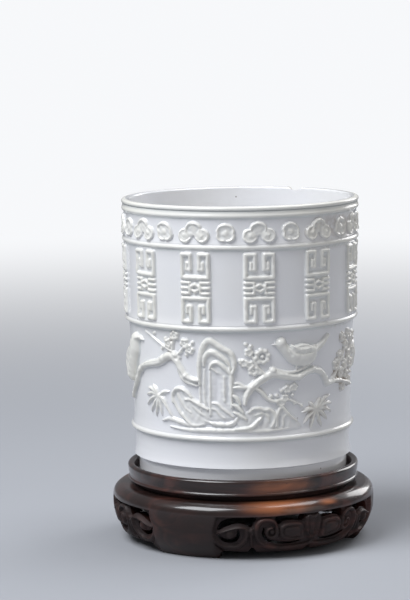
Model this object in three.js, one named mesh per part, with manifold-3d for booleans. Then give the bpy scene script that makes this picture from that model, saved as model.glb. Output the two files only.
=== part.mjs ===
// A porcelain brush pot with applied relief, standing in a round carved hardwood stand.
// Millimetres, +Z up, origin at the centre of the face that the stand rests on.
// A bearing is in degrees about +Z: 0 is the front (-Y) and 90 is the right side (+X).
import * as THREE from 'three';
import { mergeVertices } from 'three/addons/utils/BufferGeometryUtils.js';
import Module from 'manifold-3d';

const wasm = await Module();
wasm.setup();

// Fineness, and the gap between curved faces that touch on the real pot
const FACETS = 48;
const TOUCH_GAP = 0.3;

// Stand body: the pierced and carved ring on three plain feet
const STAND_FOOT_RADIUS = 57.2;
const STAND_BELLY_RADIUS = 65.5;
const STAND_SHOULDER_RADIUS = 61.4;
const STAND_BELLY_HEIGHT = 20.8;
const STAND_BODY_HEIGHT = 27.8;
const STAND_WALL = 7;
const STAND_LEDGE_THICKNESS = 5;
const BELLY_SWELL = 2;
const SHOULDER_ROUNDING = 3.5;

// Stand seat: the turned dish that the pot stands in
const SPIGOT_RADIUS = 47.7;
const SPIGOT_LENGTH = 3.4;
const NECK_RADIUS = 54.5;
const NECK_HEIGHT = 2.4;
const COLLAR_RADIUS = 57.8;
const COLLAR_HEIGHT = 8.1;
const COLLAR_ROUNDING = 1.4;
const SEAT_THICKNESS = 5.4;
const FOOT_CLEARANCE = 2.3;

// Panels of the stand: piercings and the arched lower edge between the feet
const PANEL_COUNT = 3;
const PANEL_BEARING = 31.5;
const CARVING_BOTTOM = 5.2;
const CARVING_HEIGHT = 17;
const ARCH_HEIGHT = 3.2;
const ARCH_END = 43;
const ARCH_NOTCH_RADIUS = 2.6;

// Pot body: radii
const FOOT_RADIUS = 52;
const FOOT_RING_WIDTH = 7;
const STEP_RADIUS = 54.3;
const WAIST_RADIUS = 53.5;
const PICTURE_RADIUS_LOW = 54.1;
const PICTURE_RADIUS_HIGH = 55.7;
const TABLET_RADIUS_LOW = 56.9;
const TABLET_RADIUS_HIGH = 57.4;
const CLOUD_RADIUS = 57.7;
const LIP_RADIUS = 59;
const POT_WALL = 4;

// Pot body: its height, and the heights of the zones. The picture band fills what the others leave.
const POT_HEIGHT = 137.75;
const FOOT_HEIGHT = 10;
const FOOT_CHAMFER = 1;
const FOOT_RECESS = 3;
const POT_FLOOR = 6;
const PLAIN_BAND_HEIGHT = 13.25;
const TABLET_BAND_HEIGHT = 36.35;
const CLOUD_BAND_HEIGHT = 12.1;
const BEAD_HEIGHT = 3.6;
const LIP_HEIGHT = 2.45;
const LIP_ROUNDING = 0.5;

// Raised ribs between the bands: height along the wall, and how far each stands proud
const RIB_HEIGHT = 3;
const LOW_RIB_PROUD = 1.3;
const MIDDLE_RIB_PROUD = 0.9;
const HIGH_RIB_PROUD = 0.9;
const GROOVE_DEPTH = 0.8;
const PICTURE_BAND_HEIGHT = POT_HEIGHT - FOOT_HEIGHT - PLAIN_BAND_HEIGHT - TABLET_BAND_HEIGHT
  - CLOUD_BAND_HEIGHT - 3 * RIB_HEIGHT - BEAD_HEIGHT - LIP_HEIGHT;

// Applied relief: how far each kind stands proud of the wall
const CLOUD_PROUD = 1.3;
const TABLET_PROUD = 1.6;
const PLANT_PROUD = 1.8;
const ROCK_PROUD = 1.9;
const BIRD_PROUD = 2.4;

// Applied relief: repeats and sizes along the wall
const REPEATS = 12;
const FIRST_BEARING = 9;
const CLOUD_DRIFT = 3.4;
const TABLET_DRIFT = 2.6;
const BAND_MARGIN = 0.6;
const LARGE_CLOUD_WIDTH = 15;
const SMALL_CLOUD_WIDTH = 9;
const SMALL_CLOUD_SHARE = 0.86;
const TABLET_WIDTH = 15.8;
const TABLET_BAR = 2.2;

// Widths in the picture, for a band of this height. They follow the band's height.
const DRAWN_BAND_HEIGHT = 51;
const BRANCH_WIDTH = 3;
const TWIG_WIDTH = 2;
const LEAF_WIDTH = 2.6;
const BLOSSOM_RADIUS = 2.5;

const WHITE_PORCELAIN = new THREE.MeshStandardMaterial({
  color: 0xdcdde0,
  roughness: 0.2,
  metalness: 0,
  flatShading: true,
});
const DARK_HARDWOOD = new THREE.MeshStandardMaterial({
  color: 0x2a1a16,
  roughness: 0.35,
  metalness: 0,
  flatShading: true,
});

const radians = THREE.MathUtils.degToRad;

// Closed solids and meshes

function toSolid(geometry) {
  geometry.deleteAttribute('normal');
  geometry.deleteAttribute('uv');
  const merged = mergeVertices(geometry);
  const index = merged.index.array;
  const corners = [];
  for (let i = 0; i < index.length; i += 3) {
    const [a, b, c] = [index[i], index[i + 1], index[i + 2]];
    const hasArea = a !== b && b !== c && c !== a;
    if (hasArea) corners.push(a, b, c);
  }
  return new wasm.Manifold(new wasm.Mesh({
    numProp: 3,
    vertProperties: new Float32Array(merged.attributes.position.array),
    triVerts: new Uint32Array(corners),
  }));
}

function toMesh(name, solid, material) {
  const { vertProperties, triVerts } = solid.getMesh();
  const geometry = new THREE.BufferGeometry();
  geometry.setAttribute('position', new THREE.BufferAttribute(new Float32Array(vertProperties), 3));
  geometry.setIndex(new THREE.BufferAttribute(new Uint32Array(triVerts), 1));
  geometry.computeVertexNormals();
  const mesh = new THREE.Mesh(geometry, material);
  mesh.name = name;
  return mesh;
}

function union(solids) {
  return solids.reduce((joined, solid) => joined.add(solid));
}

// Turns a profile of [radius, height] points about the axis. The profile runs anticlockwise.
function turned(profile) {
  const points = profile.map(([radius, height]) => new THREE.Vector2(radius, height));
  const geometry = new THREE.LatheGeometry(points, FACETS);
  geometry.rotateX(Math.PI / 2);
  return toSolid(geometry);
}

// Outlines on the unrolled wall: x is millimetres of arc from a bearing, y is height

function disc(centre, radius, sides) {
  return Array.from({ length: sides }, (_, i) => {
    const turn = (2 * Math.PI * (i + 0.5)) / sides;
    return new THREE.Vector2(
      centre.x + radius * Math.cos(turn),
      centre.y + radius * Math.sin(turn),
    );
  });
}

// A band of varying half width along a run of points, with a blunt tip at each end
function ribbon(points, halfWidths) {
  const last = points.length - 1;
  const left = [];
  const right = [];
  points.forEach((point, i) => {
    const before = points[Math.max(i - 1, 0)];
    const after = points[Math.min(i + 1, last)];
    const along = after.clone().sub(before).normalize();
    const across = new THREE.Vector2(-along.y, along.x).multiplyScalar(halfWidths[i]);
    left.push(point.clone().add(across));
    right.unshift(point.clone().sub(across));
  });
  const start = points[1].clone().sub(points[0]).setLength(halfWidths[0]);
  const end = points[last].clone().sub(points[last - 1]).setLength(halfWidths[last]);
  return [...left, points[last].clone().add(end), ...right, points[0].clone().sub(start)];
}

function evenRibbon(points, width) {
  return ribbon(points, points.map(() => width / 2));
}

// Extrudes an outline straight out from the axis, along a bearing, through a wall of this radius
function radialPrism(outline, bearing, radius) {
  const wrapped = outline.map((point) =>
    new THREE.Vector2(radius * Math.sin(point.x / radius), point.y));
  const inner = radius / 2;
  const geometry = new THREE.ExtrudeGeometry(new THREE.Shape(wrapped), {
    depth: radius,
    bevelEnabled: false,
  });
  geometry.translate(0, 0, inner);
  const turn = radians(bearing);
  const tangent = new THREE.Vector3(Math.cos(turn), Math.sin(turn), 0);
  const outward = new THREE.Vector3(Math.sin(turn), -Math.cos(turn), 0);
  const up = new THREE.Vector3(0, 0, 1);
  geometry.applyMatrix4(new THREE.Matrix4().makeBasis(tangent, up, outward));
  return toSolid(geometry);
}

// The stand

// The body swells from the foot to the belly and rounds over to the shoulder.
function standRadius(height) {
  if (height < STAND_BELLY_HEIGHT) {
    const below = 1 - height / STAND_BELLY_HEIGHT;
    return STAND_BELLY_RADIUS - (STAND_BELLY_RADIUS - STAND_FOOT_RADIUS) * below ** BELLY_SWELL;
  }
  const above = (height - STAND_BELLY_HEIGHT) / (STAND_BODY_HEIGHT - STAND_BELLY_HEIGHT);
  return STAND_BELLY_RADIUS
    - (STAND_BELLY_RADIUS - STAND_SHOULDER_RADIUS) * above ** SHOULDER_ROUNDING;
}

function standProfile() {
  const ledge = STAND_BODY_HEIGHT - STAND_LEDGE_THICKNESS;
  const bore = SPIGOT_RADIUS + TOUCH_GAP;
  const lower = [0, 0.4, 1].map((share) => share * STAND_BELLY_HEIGHT);
  const upper = [0.45, 0.78, 1].map((share) =>
    STAND_BELLY_HEIGHT + share * (STAND_BODY_HEIGHT - STAND_BELLY_HEIGHT));
  const outside = [...lower, ...upper].map((height) => [standRadius(height), height]);
  const inside = [1, 0.5, 0].map((share) => {
    const height = ledge * share;
    return [standRadius(height) - STAND_WALL, height];
  });
  const profile = [...outside, [bore, STAND_BODY_HEIGHT], [bore, ledge], ...inside];
  return [...profile, profile[0]];
}

// Half of a panel's piercings. Points are [degrees from the panel's middle, percent of the carving].
const TOP_HOLE = [[3.4, 95], [18, 95], [16, 66], [14.8, 71], [4.6, 74]];
const CRESCENT_HOLE = [[42.6, 66], [41.5, 90], [27.2, 94], [28.4, 66], [33, 76], [38, 76]];
const SCROLL_SLOT = [[23, 63], [22.8, 40], [19.5, 22], [13, 14], [5, 18]];
const BOSS_SLOT = [[33.7, 55], [34.5, 34], [38, 25], [42.3, 31]];
const SCROLL_SLOT_WIDTH = 1.5;
const BOSS_SLOT_WIDTH = 2;
// Lobes of the lower edge, and the notches between them, in degrees from the panel's middle
const ARCH_LOBES = [[0, 14], [14, 28], [28, ARCH_END]];
const ARCH_NOTCHES = [0, 26.8];

function pierce(points, panel, side, toOutline) {
  const middle = points.reduce((sum, [offset]) => sum + offset, 0) / points.length;
  const bearing = panel + side * middle;
  const flat = points.map(([offset, percent]) => {
    const arc = side * radians(offset - middle) * STAND_BELLY_RADIUS;
    return new THREE.Vector2(arc, CARVING_BOTTOM + (percent / 100) * CARVING_HEIGHT);
  });
  return radialPrism(toOutline(flat), bearing, STAND_BELLY_RADIUS);
}

function archLobe([from, to], panel, side) {
  const middle = (from + to) / 2;
  const reach = radians(to - from) * STAND_BELLY_RADIUS / 2;
  const ends = [new THREE.Vector2(-reach, 0), new THREE.Vector2(reach, 0)];
  return radialPrism(evenRibbon(ends, 2 * ARCH_HEIGHT), panel + side * middle, STAND_BELLY_RADIUS);
}

function archNotch(offset, panel, side) {
  const outline = disc(new THREE.Vector2(0, ARCH_HEIGHT), ARCH_NOTCH_RADIUS, 8);
  return radialPrism(outline, panel + side * offset, STAND_BELLY_RADIUS);
}

function panelCuts(panel) {
  const cuts = [];
  for (const side of [-1, 1]) {
    cuts.push(pierce(TOP_HOLE, panel, side, (flat) => flat));
    cuts.push(pierce(CRESCENT_HOLE, panel, side, (flat) => flat));
    cuts.push(pierce(SCROLL_SLOT, panel, side, (flat) => evenRibbon(flat, SCROLL_SLOT_WIDTH)));
    cuts.push(pierce(BOSS_SLOT, panel, side, (flat) => evenRibbon(flat, BOSS_SLOT_WIDTH)));
    ARCH_LOBES.forEach((lobe) => cuts.push(archLobe(lobe, panel, side)));
    ARCH_NOTCHES.forEach((offset) => cuts.push(archNotch(offset, panel, side)));
  }
  return cuts;
}

function standBody() {
  let solid = turned(standProfile());
  for (let i = 0; i < PANEL_COUNT; i += 1) {
    solid = solid.subtract(union(panelCuts(PANEL_BEARING + (360 / PANEL_COUNT) * i)));
  }
  return toMesh('stand_body', solid, DARK_HARDWOOD);
}

// The seat's foot recess is a little wider than the pot's foot, so the pot drops in and lifts out.
function standSeat() {
  const recess = FOOT_RADIUS + FOOT_CLEARANCE;
  const under = STAND_BODY_HEIGHT;
  const neckTop = under + NECK_HEIGHT;
  const top = neckTop + COLLAR_HEIGHT;
  const seat = under + SEAT_THICKNESS;
  return toMesh('stand_seat', turned([
    [0, under - SPIGOT_LENGTH],
    [SPIGOT_RADIUS, under - SPIGOT_LENGTH],
    [SPIGOT_RADIUS, under],
    [NECK_RADIUS, under],
    [NECK_RADIUS, neckTop],
    [COLLAR_RADIUS - COLLAR_ROUNDING, neckTop],
    [COLLAR_RADIUS, neckTop + 2 * COLLAR_ROUNDING],
    [COLLAR_RADIUS, top - 2 * COLLAR_ROUNDING],
    [COLLAR_RADIUS - COLLAR_ROUNDING, top],
    [recess + COLLAR_ROUNDING / 4, top],
    [recess, top - COLLAR_ROUNDING / 2],
    [recess, seat],
    [0, seat],
  ]), DARK_HARDWOOD);
}

// The pot body. Heights here are above the foot, and the pot's group lifts them to the seat.

const PICTURE_BAND = {
  bottom: FOOT_HEIGHT + PLAIN_BAND_HEIGHT + RIB_HEIGHT,
  height: PICTURE_BAND_HEIGHT,
  low: PICTURE_RADIUS_LOW,
  high: PICTURE_RADIUS_HIGH,
};
const TABLET_BAND = {
  bottom: PICTURE_BAND.bottom + PICTURE_BAND_HEIGHT + RIB_HEIGHT,
  height: TABLET_BAND_HEIGHT,
  low: TABLET_RADIUS_LOW,
  high: TABLET_RADIUS_HIGH,
};
const CLOUD_BAND = {
  bottom: TABLET_BAND.bottom + TABLET_BAND_HEIGHT + RIB_HEIGHT,
  height: CLOUD_BAND_HEIGHT,
  low: CLOUD_RADIUS,
  high: CLOUD_RADIUS,
};
const top = (band) => band.bottom + band.height;

// A half-round rib from one band's wall to the next one's
function rib(below, above, bottom, height, proud) {
  const crest = Math.max(below, above) + proud;
  return [
    [below, bottom],
    [THREE.MathUtils.lerp(below, crest, 0.8), bottom + 0.2 * height],
    [crest, bottom + 0.5 * height],
    [THREE.MathUtils.lerp(above, crest, 0.8), bottom + 0.8 * height],
    [above, bottom + height],
  ];
}

function potProfile() {
  const groove = LIP_RADIUS - GROOVE_DEPTH;
  const inner = LIP_RADIUS - POT_WALL;
  const well = PICTURE_RADIUS_LOW - POT_WALL;
  return [
    [0, FOOT_RECESS],
    [FOOT_RADIUS - FOOT_RING_WIDTH, FOOT_RECESS],
    [FOOT_RADIUS - FOOT_RING_WIDTH + FOOT_CHAMFER, 0],
    [FOOT_RADIUS - FOOT_CHAMFER, 0],
    [FOOT_RADIUS, FOOT_CHAMFER],
    [FOOT_RADIUS, FOOT_HEIGHT],
    [STEP_RADIUS, FOOT_HEIGHT],
    [WAIST_RADIUS, FOOT_HEIGHT + 0.5 * PLAIN_BAND_HEIGHT],
    ...rib(
      WAIST_RADIUS, PICTURE_RADIUS_LOW, FOOT_HEIGHT + PLAIN_BAND_HEIGHT, RIB_HEIGHT, LOW_RIB_PROUD,
    ),
    ...rib(
      PICTURE_RADIUS_HIGH, TABLET_RADIUS_LOW, top(PICTURE_BAND), RIB_HEIGHT, MIDDLE_RIB_PROUD,
    ),
    ...rib(TABLET_RADIUS_HIGH, CLOUD_RADIUS, top(TABLET_BAND), RIB_HEIGHT, HIGH_RIB_PROUD),
    ...rib(CLOUD_RADIUS, groove, top(CLOUD_BAND), BEAD_HEIGHT, LIP_RADIUS - groove),
    [LIP_RADIUS, POT_HEIGHT - 0.6 * LIP_HEIGHT],
    [LIP_RADIUS - LIP_ROUNDING, POT_HEIGHT - 0.2 * LIP_HEIGHT],
    [LIP_RADIUS - 0.45 * POT_WALL, POT_HEIGHT],
    [LIP_RADIUS - 0.85 * POT_WALL, POT_HEIGHT - 0.2 * LIP_HEIGHT],
    [inner, POT_HEIGHT - 0.6 * LIP_HEIGHT],
    [well, POT_FLOOR + POT_WALL],
    [well - 0.5 * POT_WALL, POT_FLOOR + 0.25 * POT_WALL],
    [well - 1.5 * POT_WALL, POT_FLOOR],
    [0, POT_FLOOR],
  ];
}

// Applied relief. Each piece is cut from a thin shell over its band, and leaves a gap to the wall.

function wallRadius(band, share) {
  return THREE.MathUtils.lerp(band.low, band.high, share);
}

function bandShell(band, proud) {
  const bottom = band.bottom + TOUCH_GAP;
  const crown = top(band) - TOUCH_GAP;
  return turned([
    [band.low + TOUCH_GAP, bottom],
    [band.low + proud, bottom],
    [band.high + proud, crown],
    [band.high + TOUCH_GAP, crown],
    [band.low + TOUCH_GAP, bottom],
  ]);
}

function relief(band, shell, bearing, outlines) {
  const radius = wallRadius(band, 0.5);
  return union(outlines.map((outline) => radialPrism(outline, bearing, radius))).intersect(shell);
}

// The maker set the repeats by eye, so they sit a little closer at the back than at the front.
function repeatBearing(index, drift) {
  const turn = (360 / REPEATS) * index;
  return FIRST_BEARING + turn + drift * Math.sin(radians(turn));
}

// Cloud heads: a tall middle lobe over two curled side lobes.
// Points are shares of the half width and of the height, and the left half mirrors the right.
const CLOUD_EDGE = [[0, 1], [0.32, 0.93], [0.42, 0.66], [0.8, 0.62], [1, 0.34], [0.8, 0.04], [0.3, 0.1]];

function cloudOutlines(width, share) {
  const height = (CLOUD_BAND_HEIGHT - 2 * BAND_MARGIN) * share;
  const bottom = CLOUD_BAND.bottom + BAND_MARGIN;
  const right = CLOUD_EDGE.map(([across, up]) =>
    new THREE.Vector2(across * width / 2, bottom + up * height));
  const left = right.slice(1).reverse().map((point) => new THREE.Vector2(-point.x, point.y));
  return [[...right, ...left]];
}

function cloudHeads() {
  const shell = bandShell(CLOUD_BAND, CLOUD_PROUD);
  const meshes = [];
  for (let i = 0; i < REPEATS; i += 1) {
    const number = String(i + 1).padStart(2, '0');
    const large = repeatBearing(i, CLOUD_DRIFT);
    const small = repeatBearing(i + 0.5, CLOUD_DRIFT);
    const largeSolid = relief(CLOUD_BAND, shell, large, cloudOutlines(LARGE_CLOUD_WIDTH, 1));
    const smallSolid = relief(
      CLOUD_BAND, shell, small, cloudOutlines(SMALL_CLOUD_WIDTH, SMALL_CLOUD_SHARE),
    );
    meshes.push(toMesh(`cloud_head_large_${number}`, largeSolid, WHITE_PORCELAIN));
    meshes.push(toMesh(`cloud_head_small_${number}`, smallSolid, WHITE_PORCELAIN));
  }
  return meshes;
}

// Fret tablets: two stacked frames with a lozenge in each and one between them.
// Points are shares of the half width and of the tablet's height.
const TABLET_FRAMES = [
  [[-1, 0.62], [1, 0.62], [1, 0.97], [0, 1], [-1, 0.97]],
  [[-1, 0.12], [0, 0], [1, 0.12], [1, 0.44], [-1, 0.44]],
];
const TABLET_LOZENGES = [0.795, 0.53, 0.25];
const LOZENGE_HEIGHT = 0.24;

function tabletOutlines() {
  const bottom = TABLET_BAND.bottom + BAND_MARGIN;
  const height = TABLET_BAND_HEIGHT - 2 * BAND_MARGIN;
  const place = ([across, up]) =>
    new THREE.Vector2(across * TABLET_WIDTH / 2, bottom + up * height);
  const frames = TABLET_FRAMES.map((frame) => {
    const outline = frame.map(place);
    return { outline, window: widened(outline, -1.3 * TABLET_BAR) };
  });
  const lozenges = TABLET_LOZENGES.map((up) => [
    place([-0.9, up]), place([0, up - LOZENGE_HEIGHT / 2]),
    place([0.9, up]), place([0, up + LOZENGE_HEIGHT / 2]),
  ]);
  return { frames, lozenges };
}

function fretTablets() {
  const shell = bandShell(TABLET_BAND, TABLET_PROUD);
  const radius = wallRadius(TABLET_BAND, 0.5);
  const { frames, lozenges } = tabletOutlines();
  return Array.from({ length: REPEATS }, (_, i) => {
    const bearing = repeatBearing(i, TABLET_DRIFT);
    const prism = (outline) => radialPrism(outline, bearing, radius);
    const bars = frames.map(({ outline, window }) => prism(outline).subtract(prism(window)));
    const solid = union([...bars, ...lozenges.map(prism)]).intersect(shell);
    return toMesh(`fret_tablet_${String(i + 1).padStart(2, '0')}`, solid, WHITE_PORCELAIN);
  });
}

// Picture band. Points are [bearing on the front half, percent of the band's height].

const ROCKS_LOW = {
  facing: -8,
  masses: [
    [[-41, 8], [-39, 30], [-36, 41], [-31, 41], [-28, 35], [-24.5, 31], [-23.5, 8]],
    [[-2, 8], [0, 17], [3, 23], [8, 25], [13, 24], [17, 19], [20, 24], [23, 19], [27, 8]],
  ],
  stems: [[[-42, 10], [-32, 7], [-22, 6], [-8, 4], [8, 4], [20, 5], [27, 7]]],
};
const ROCK_TALL = {
  facing: -13,
  masses: [[
    [-22, 11], [-22.5, 40], [-22, 71], [-20.5, 81], [-16, 93], [-10, 87],
    [-5, 81], [-4, 73], [-5, 59], [-5.5, 30], [-3.5, 11],
  ]],
};
const BRANCH_LEFT = {
  facing: -47,
  stems: [[
    [-74, 37], [-68, 45], [-64.5, 55], [-58, 62], [-50, 64], [-45, 68], [-40, 74],
    [-35.5, 71], [-33, 63], [-30, 56], [-24, 53],
  ]],
  twigs: [[[-55, 93], [-43.5, 84], [-36, 78], [-36, 71]]],
  masses: [[[-36, 76], [-43, 82], [-42, 88], [-36, 93], [-31, 89], [-28.5, 82], [-31, 78]]],
  blossoms: [[-43, 86], [-38.5, 87], [-36, 93], [-31, 89], [-28.5, 82]],
};
const BRANCH_RIGHT = {
  facing: 33,
  stems: [[
    [0.5, 31], [2, 37], [5, 47], [10, 56], [15, 59], [20, 58], [30, 55], [33, 57],
    [37, 61], [41, 59], [45, 56], [50, 44], [57, 45], [63, 51], [69, 60],
  ]],
  twigs: [
    [[5, 47], [-3, 46]],
    [[5, 46], [13, 33], [18, 31], [23, 33], [31, 26]],
    [[12, 58], [8, 61], [5, 63], [0, 68]],
    [[10, 57], [9, 67], [6, 75], [3, 87]],
    [[9, 67], [13, 75], [10, 81]],
    [[63, 51], [62, 64], [66, 76], [72, 80]],
  ],
  blossoms: [
    [24, 38], [3, 69], [3, 86], [12, 79], [60, 60], [65, 70], [70, 66], [70, 79],
  ],
};
const LEAVES_LEFT = {
  facing: -48,
  leaves: [[-57, 41], [-53, 45], [-41, 40], [-58, 21], [-52, 14], [-46, 17]],
  from: [-48, 32],
};
const LEAVES_RIGHT = {
  facing: 42,
  leaves: [[31, 16], [35, 25], [47, 29], [53, 27], [54, 16], [48, 8], [40, 6]],
  from: [41, 20],
};
const BIRD_CLINGING = {
  facing: -69,
  masses: [[
    [-60, 83], [-63, 88], [-67, 87], [-70, 80], [-75, 68], [-77, 54],
    [-78, 42], [-75, 47], [-72, 57], [-67, 64], [-64, 72], [-63, 80],
  ]],
};
const BIRD_PERCHED = {
  facing: 31,
  masses: [[
    [16, 86], [19, 91], [21, 92], [23, 88], [26, 82], [30, 80], [37, 78], [41, 84], [47, 92],
    [48, 89], [43, 80], [40, 70], [35, 65], [28, 66], [24, 68], [21, 74], [18, 82],
  ]],
};

function picturePoint(motif, [bearing, percent]) {
  const radius = wallRadius(PICTURE_BAND, 0.5);
  return new THREE.Vector2(
    radians(bearing - motif.facing) * radius,
    PICTURE_BAND.bottom + (percent / 100) * PICTURE_BAND_HEIGHT,
  );
}

// The flat outlines of one motif, each widened all round by `grow`
function motifOutlines(motif, grow) {
  const place = (point) => picturePoint(motif, point);
  const scale = PICTURE_BAND_HEIGHT / DRAWN_BAND_HEIGHT;
  const outlines = (motif.masses ?? []).map((mass) => widened(mass.map(place), grow));
  for (const stem of motif.stems ?? []) {
    outlines.push(evenRibbon(stem.map(place), scale * BRANCH_WIDTH + 2 * grow));
  }
  for (const twig of motif.twigs ?? []) {
    outlines.push(evenRibbon(twig.map(place), scale * TWIG_WIDTH + 2 * grow));
  }
  for (const blossom of motif.blossoms ?? []) {
    outlines.push(disc(place(blossom), scale * BLOSSOM_RADIUS + grow, 6));
  }
  for (const tip of motif.leaves ?? []) {
    const root = place(motif.from);
    const end = place(tip);
    const middle = root.clone().lerp(end, 0.55);
    const widths = [0.25, 0.5, 0.15].map((share) => share * scale * LEAF_WIDTH + grow);
    outlines.push(ribbon([root, middle, end], widths));
  }
  return outlines;
}

// Pushes each point of a mass away from its middle
function widened(points, grow) {
  const middle = points.reduce((sum, point) => sum.add(point), new THREE.Vector2())
    .divideScalar(points.length);
  return points.map((point) => {
    const out = point.clone().sub(middle);
    return middle.clone().add(out.setLength(out.length() + grow));
  });
}

// Later pieces are cut back from the earlier ones that they meet, and keep the gap to them.
const SCENERY = [
  ['rocks_low', ROCKS_LOW, ROCK_PROUD, []],
  ['rock_tall', ROCK_TALL, ROCK_PROUD, [ROCKS_LOW]],
  ['branch_left', BRANCH_LEFT, PLANT_PROUD, [ROCK_TALL]],
  ['branch_right', BRANCH_RIGHT, PLANT_PROUD, [ROCK_TALL, ROCKS_LOW]],
  ['leaves_left', LEAVES_LEFT, PLANT_PROUD, [ROCKS_LOW]],
  ['leaves_right', LEAVES_RIGHT, PLANT_PROUD, [BRANCH_RIGHT]],
  ['bird_clinging', BIRD_CLINGING, BIRD_PROUD, [BRANCH_LEFT]],
  ['bird_perched', BIRD_PERCHED, BIRD_PROUD, [BRANCH_RIGHT]],
];

function scenery(side, halfTurn) {
  const radius = wallRadius(PICTURE_BAND, 0.5);
  return SCENERY.map(([name, motif, proud, neighbours]) => {
    const shell = bandShell(PICTURE_BAND, proud);
    let solid = relief(PICTURE_BAND, shell, motif.facing + halfTurn, motifOutlines(motif, 0));
    for (const neighbour of neighbours) {
      const cutters = motifOutlines(neighbour, TOUCH_GAP).map((outline) =>
        radialPrism(outline, neighbour.facing + halfTurn, radius));
      solid = solid.subtract(union(cutters));
    }
    return toMesh(`${name}_${side}`, solid, WHITE_PORCELAIN);
  });
}

// The whole object

const pot = new THREE.Group();
pot.position.z = STAND_BODY_HEIGHT + SEAT_THICKNESS;
pot.add(toMesh('pot_body', turned(potProfile()), WHITE_PORCELAIN));
pot.add(...cloudHeads());
pot.add(...fretTablets());
pot.add(...scenery('front', 0));
pot.add(...scenery('back', 180));

const stand = new THREE.Group();
stand.add(standBody());
stand.add(standSeat());

const brushPot = new THREE.Group();
brushPot.add(stand, pot);

export default brushPot;
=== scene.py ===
"""Looks of a white porcelain brush pot with applied relief, standing in a carved hardwood stand.

Blender works in metres with +Z up and the front at -Y. Shapes are given in millimetres and turned
into metres where a mesh is made. A bearing is in degrees about +Z: 0 is the front and 90 is +X.
"""

import logging
import math
from collections.abc import Callable, Sequence
from dataclasses import dataclass, field
from enum import Enum

import bpy
import numpy as np
from mathutils import Matrix, Vector


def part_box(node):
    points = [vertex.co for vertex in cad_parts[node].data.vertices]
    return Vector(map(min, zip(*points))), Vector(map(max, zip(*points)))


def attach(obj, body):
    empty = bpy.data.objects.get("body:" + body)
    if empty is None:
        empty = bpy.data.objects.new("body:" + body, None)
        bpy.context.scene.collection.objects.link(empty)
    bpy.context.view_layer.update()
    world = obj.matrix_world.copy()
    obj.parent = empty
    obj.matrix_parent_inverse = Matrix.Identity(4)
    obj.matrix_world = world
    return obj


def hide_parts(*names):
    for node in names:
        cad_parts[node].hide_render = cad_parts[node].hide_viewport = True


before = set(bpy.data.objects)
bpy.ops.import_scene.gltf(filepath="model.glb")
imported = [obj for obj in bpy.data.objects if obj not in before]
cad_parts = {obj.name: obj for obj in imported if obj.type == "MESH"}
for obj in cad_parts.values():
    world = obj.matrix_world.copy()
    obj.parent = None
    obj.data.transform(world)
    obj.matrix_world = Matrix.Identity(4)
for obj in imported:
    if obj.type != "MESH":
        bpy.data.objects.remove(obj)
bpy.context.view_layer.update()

MM = 0.001
POT_SLOT = "white_porcelain"
STAND_SLOT = "dark_hardwood"
CREASE = math.radians(50)

Point = tuple[float, float]
Path = Sequence[Point]
Spot = tuple[float, float, float]
Colour = tuple[float, float, float]

log = logging.getLogger("brush_pot")


# Shader maths


class Signal:
    """An output socket that Python's operators work on."""

    def __init__(self, shader: "Shader", socket: bpy.types.NodeSocket) -> None:
        """Wraps a socket.

        Args:
            shader: The shader that the socket's node is in.
            socket: The output socket.
        """
        self.shader = shader
        self.socket = socket

    def _math(self, operation: str, first: "Signal | float", second: "Signal | float") -> "Signal":
        """Adds a Math node and returns its output."""
        return self.shader.node("ShaderNodeMath", {"operation": operation}, {0: first, 1: second})

    def __add__(self, other: "Signal | float") -> "Signal":
        """Sum."""
        return self._math("ADD", self, other)

    def __radd__(self, other: float) -> "Signal":
        """Sum with a number first."""
        return self._math("ADD", other, self)

    def __sub__(self, other: "Signal | float") -> "Signal":
        """Difference."""
        return self._math("SUBTRACT", self, other)

    def __rsub__(self, other: float) -> "Signal":
        """Difference with a number first."""
        return self._math("SUBTRACT", other, self)

    def __mul__(self, other: "Signal | float") -> "Signal":
        """Product."""
        return self._math("MULTIPLY", self, other)

    def __rmul__(self, other: float) -> "Signal":
        """Product with a number first."""
        return self._math("MULTIPLY", other, self)

    def clamped(self) -> "Signal":
        """The value held between 0 and 1."""
        return self._math("MINIMUM", self._math("MAXIMUM", self, 0.0), 1.0)

    def step(self, low: float, high: float) -> "Signal":
        """A smooth rise from 0 at `low` to 1 at `high`."""
        inputs = {"Value": self, "From Min": low, "From Max": high}
        return self.shader.node("ShaderNodeMapRange", {"interpolation_type": "SMOOTHSTEP"}, inputs)


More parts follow.
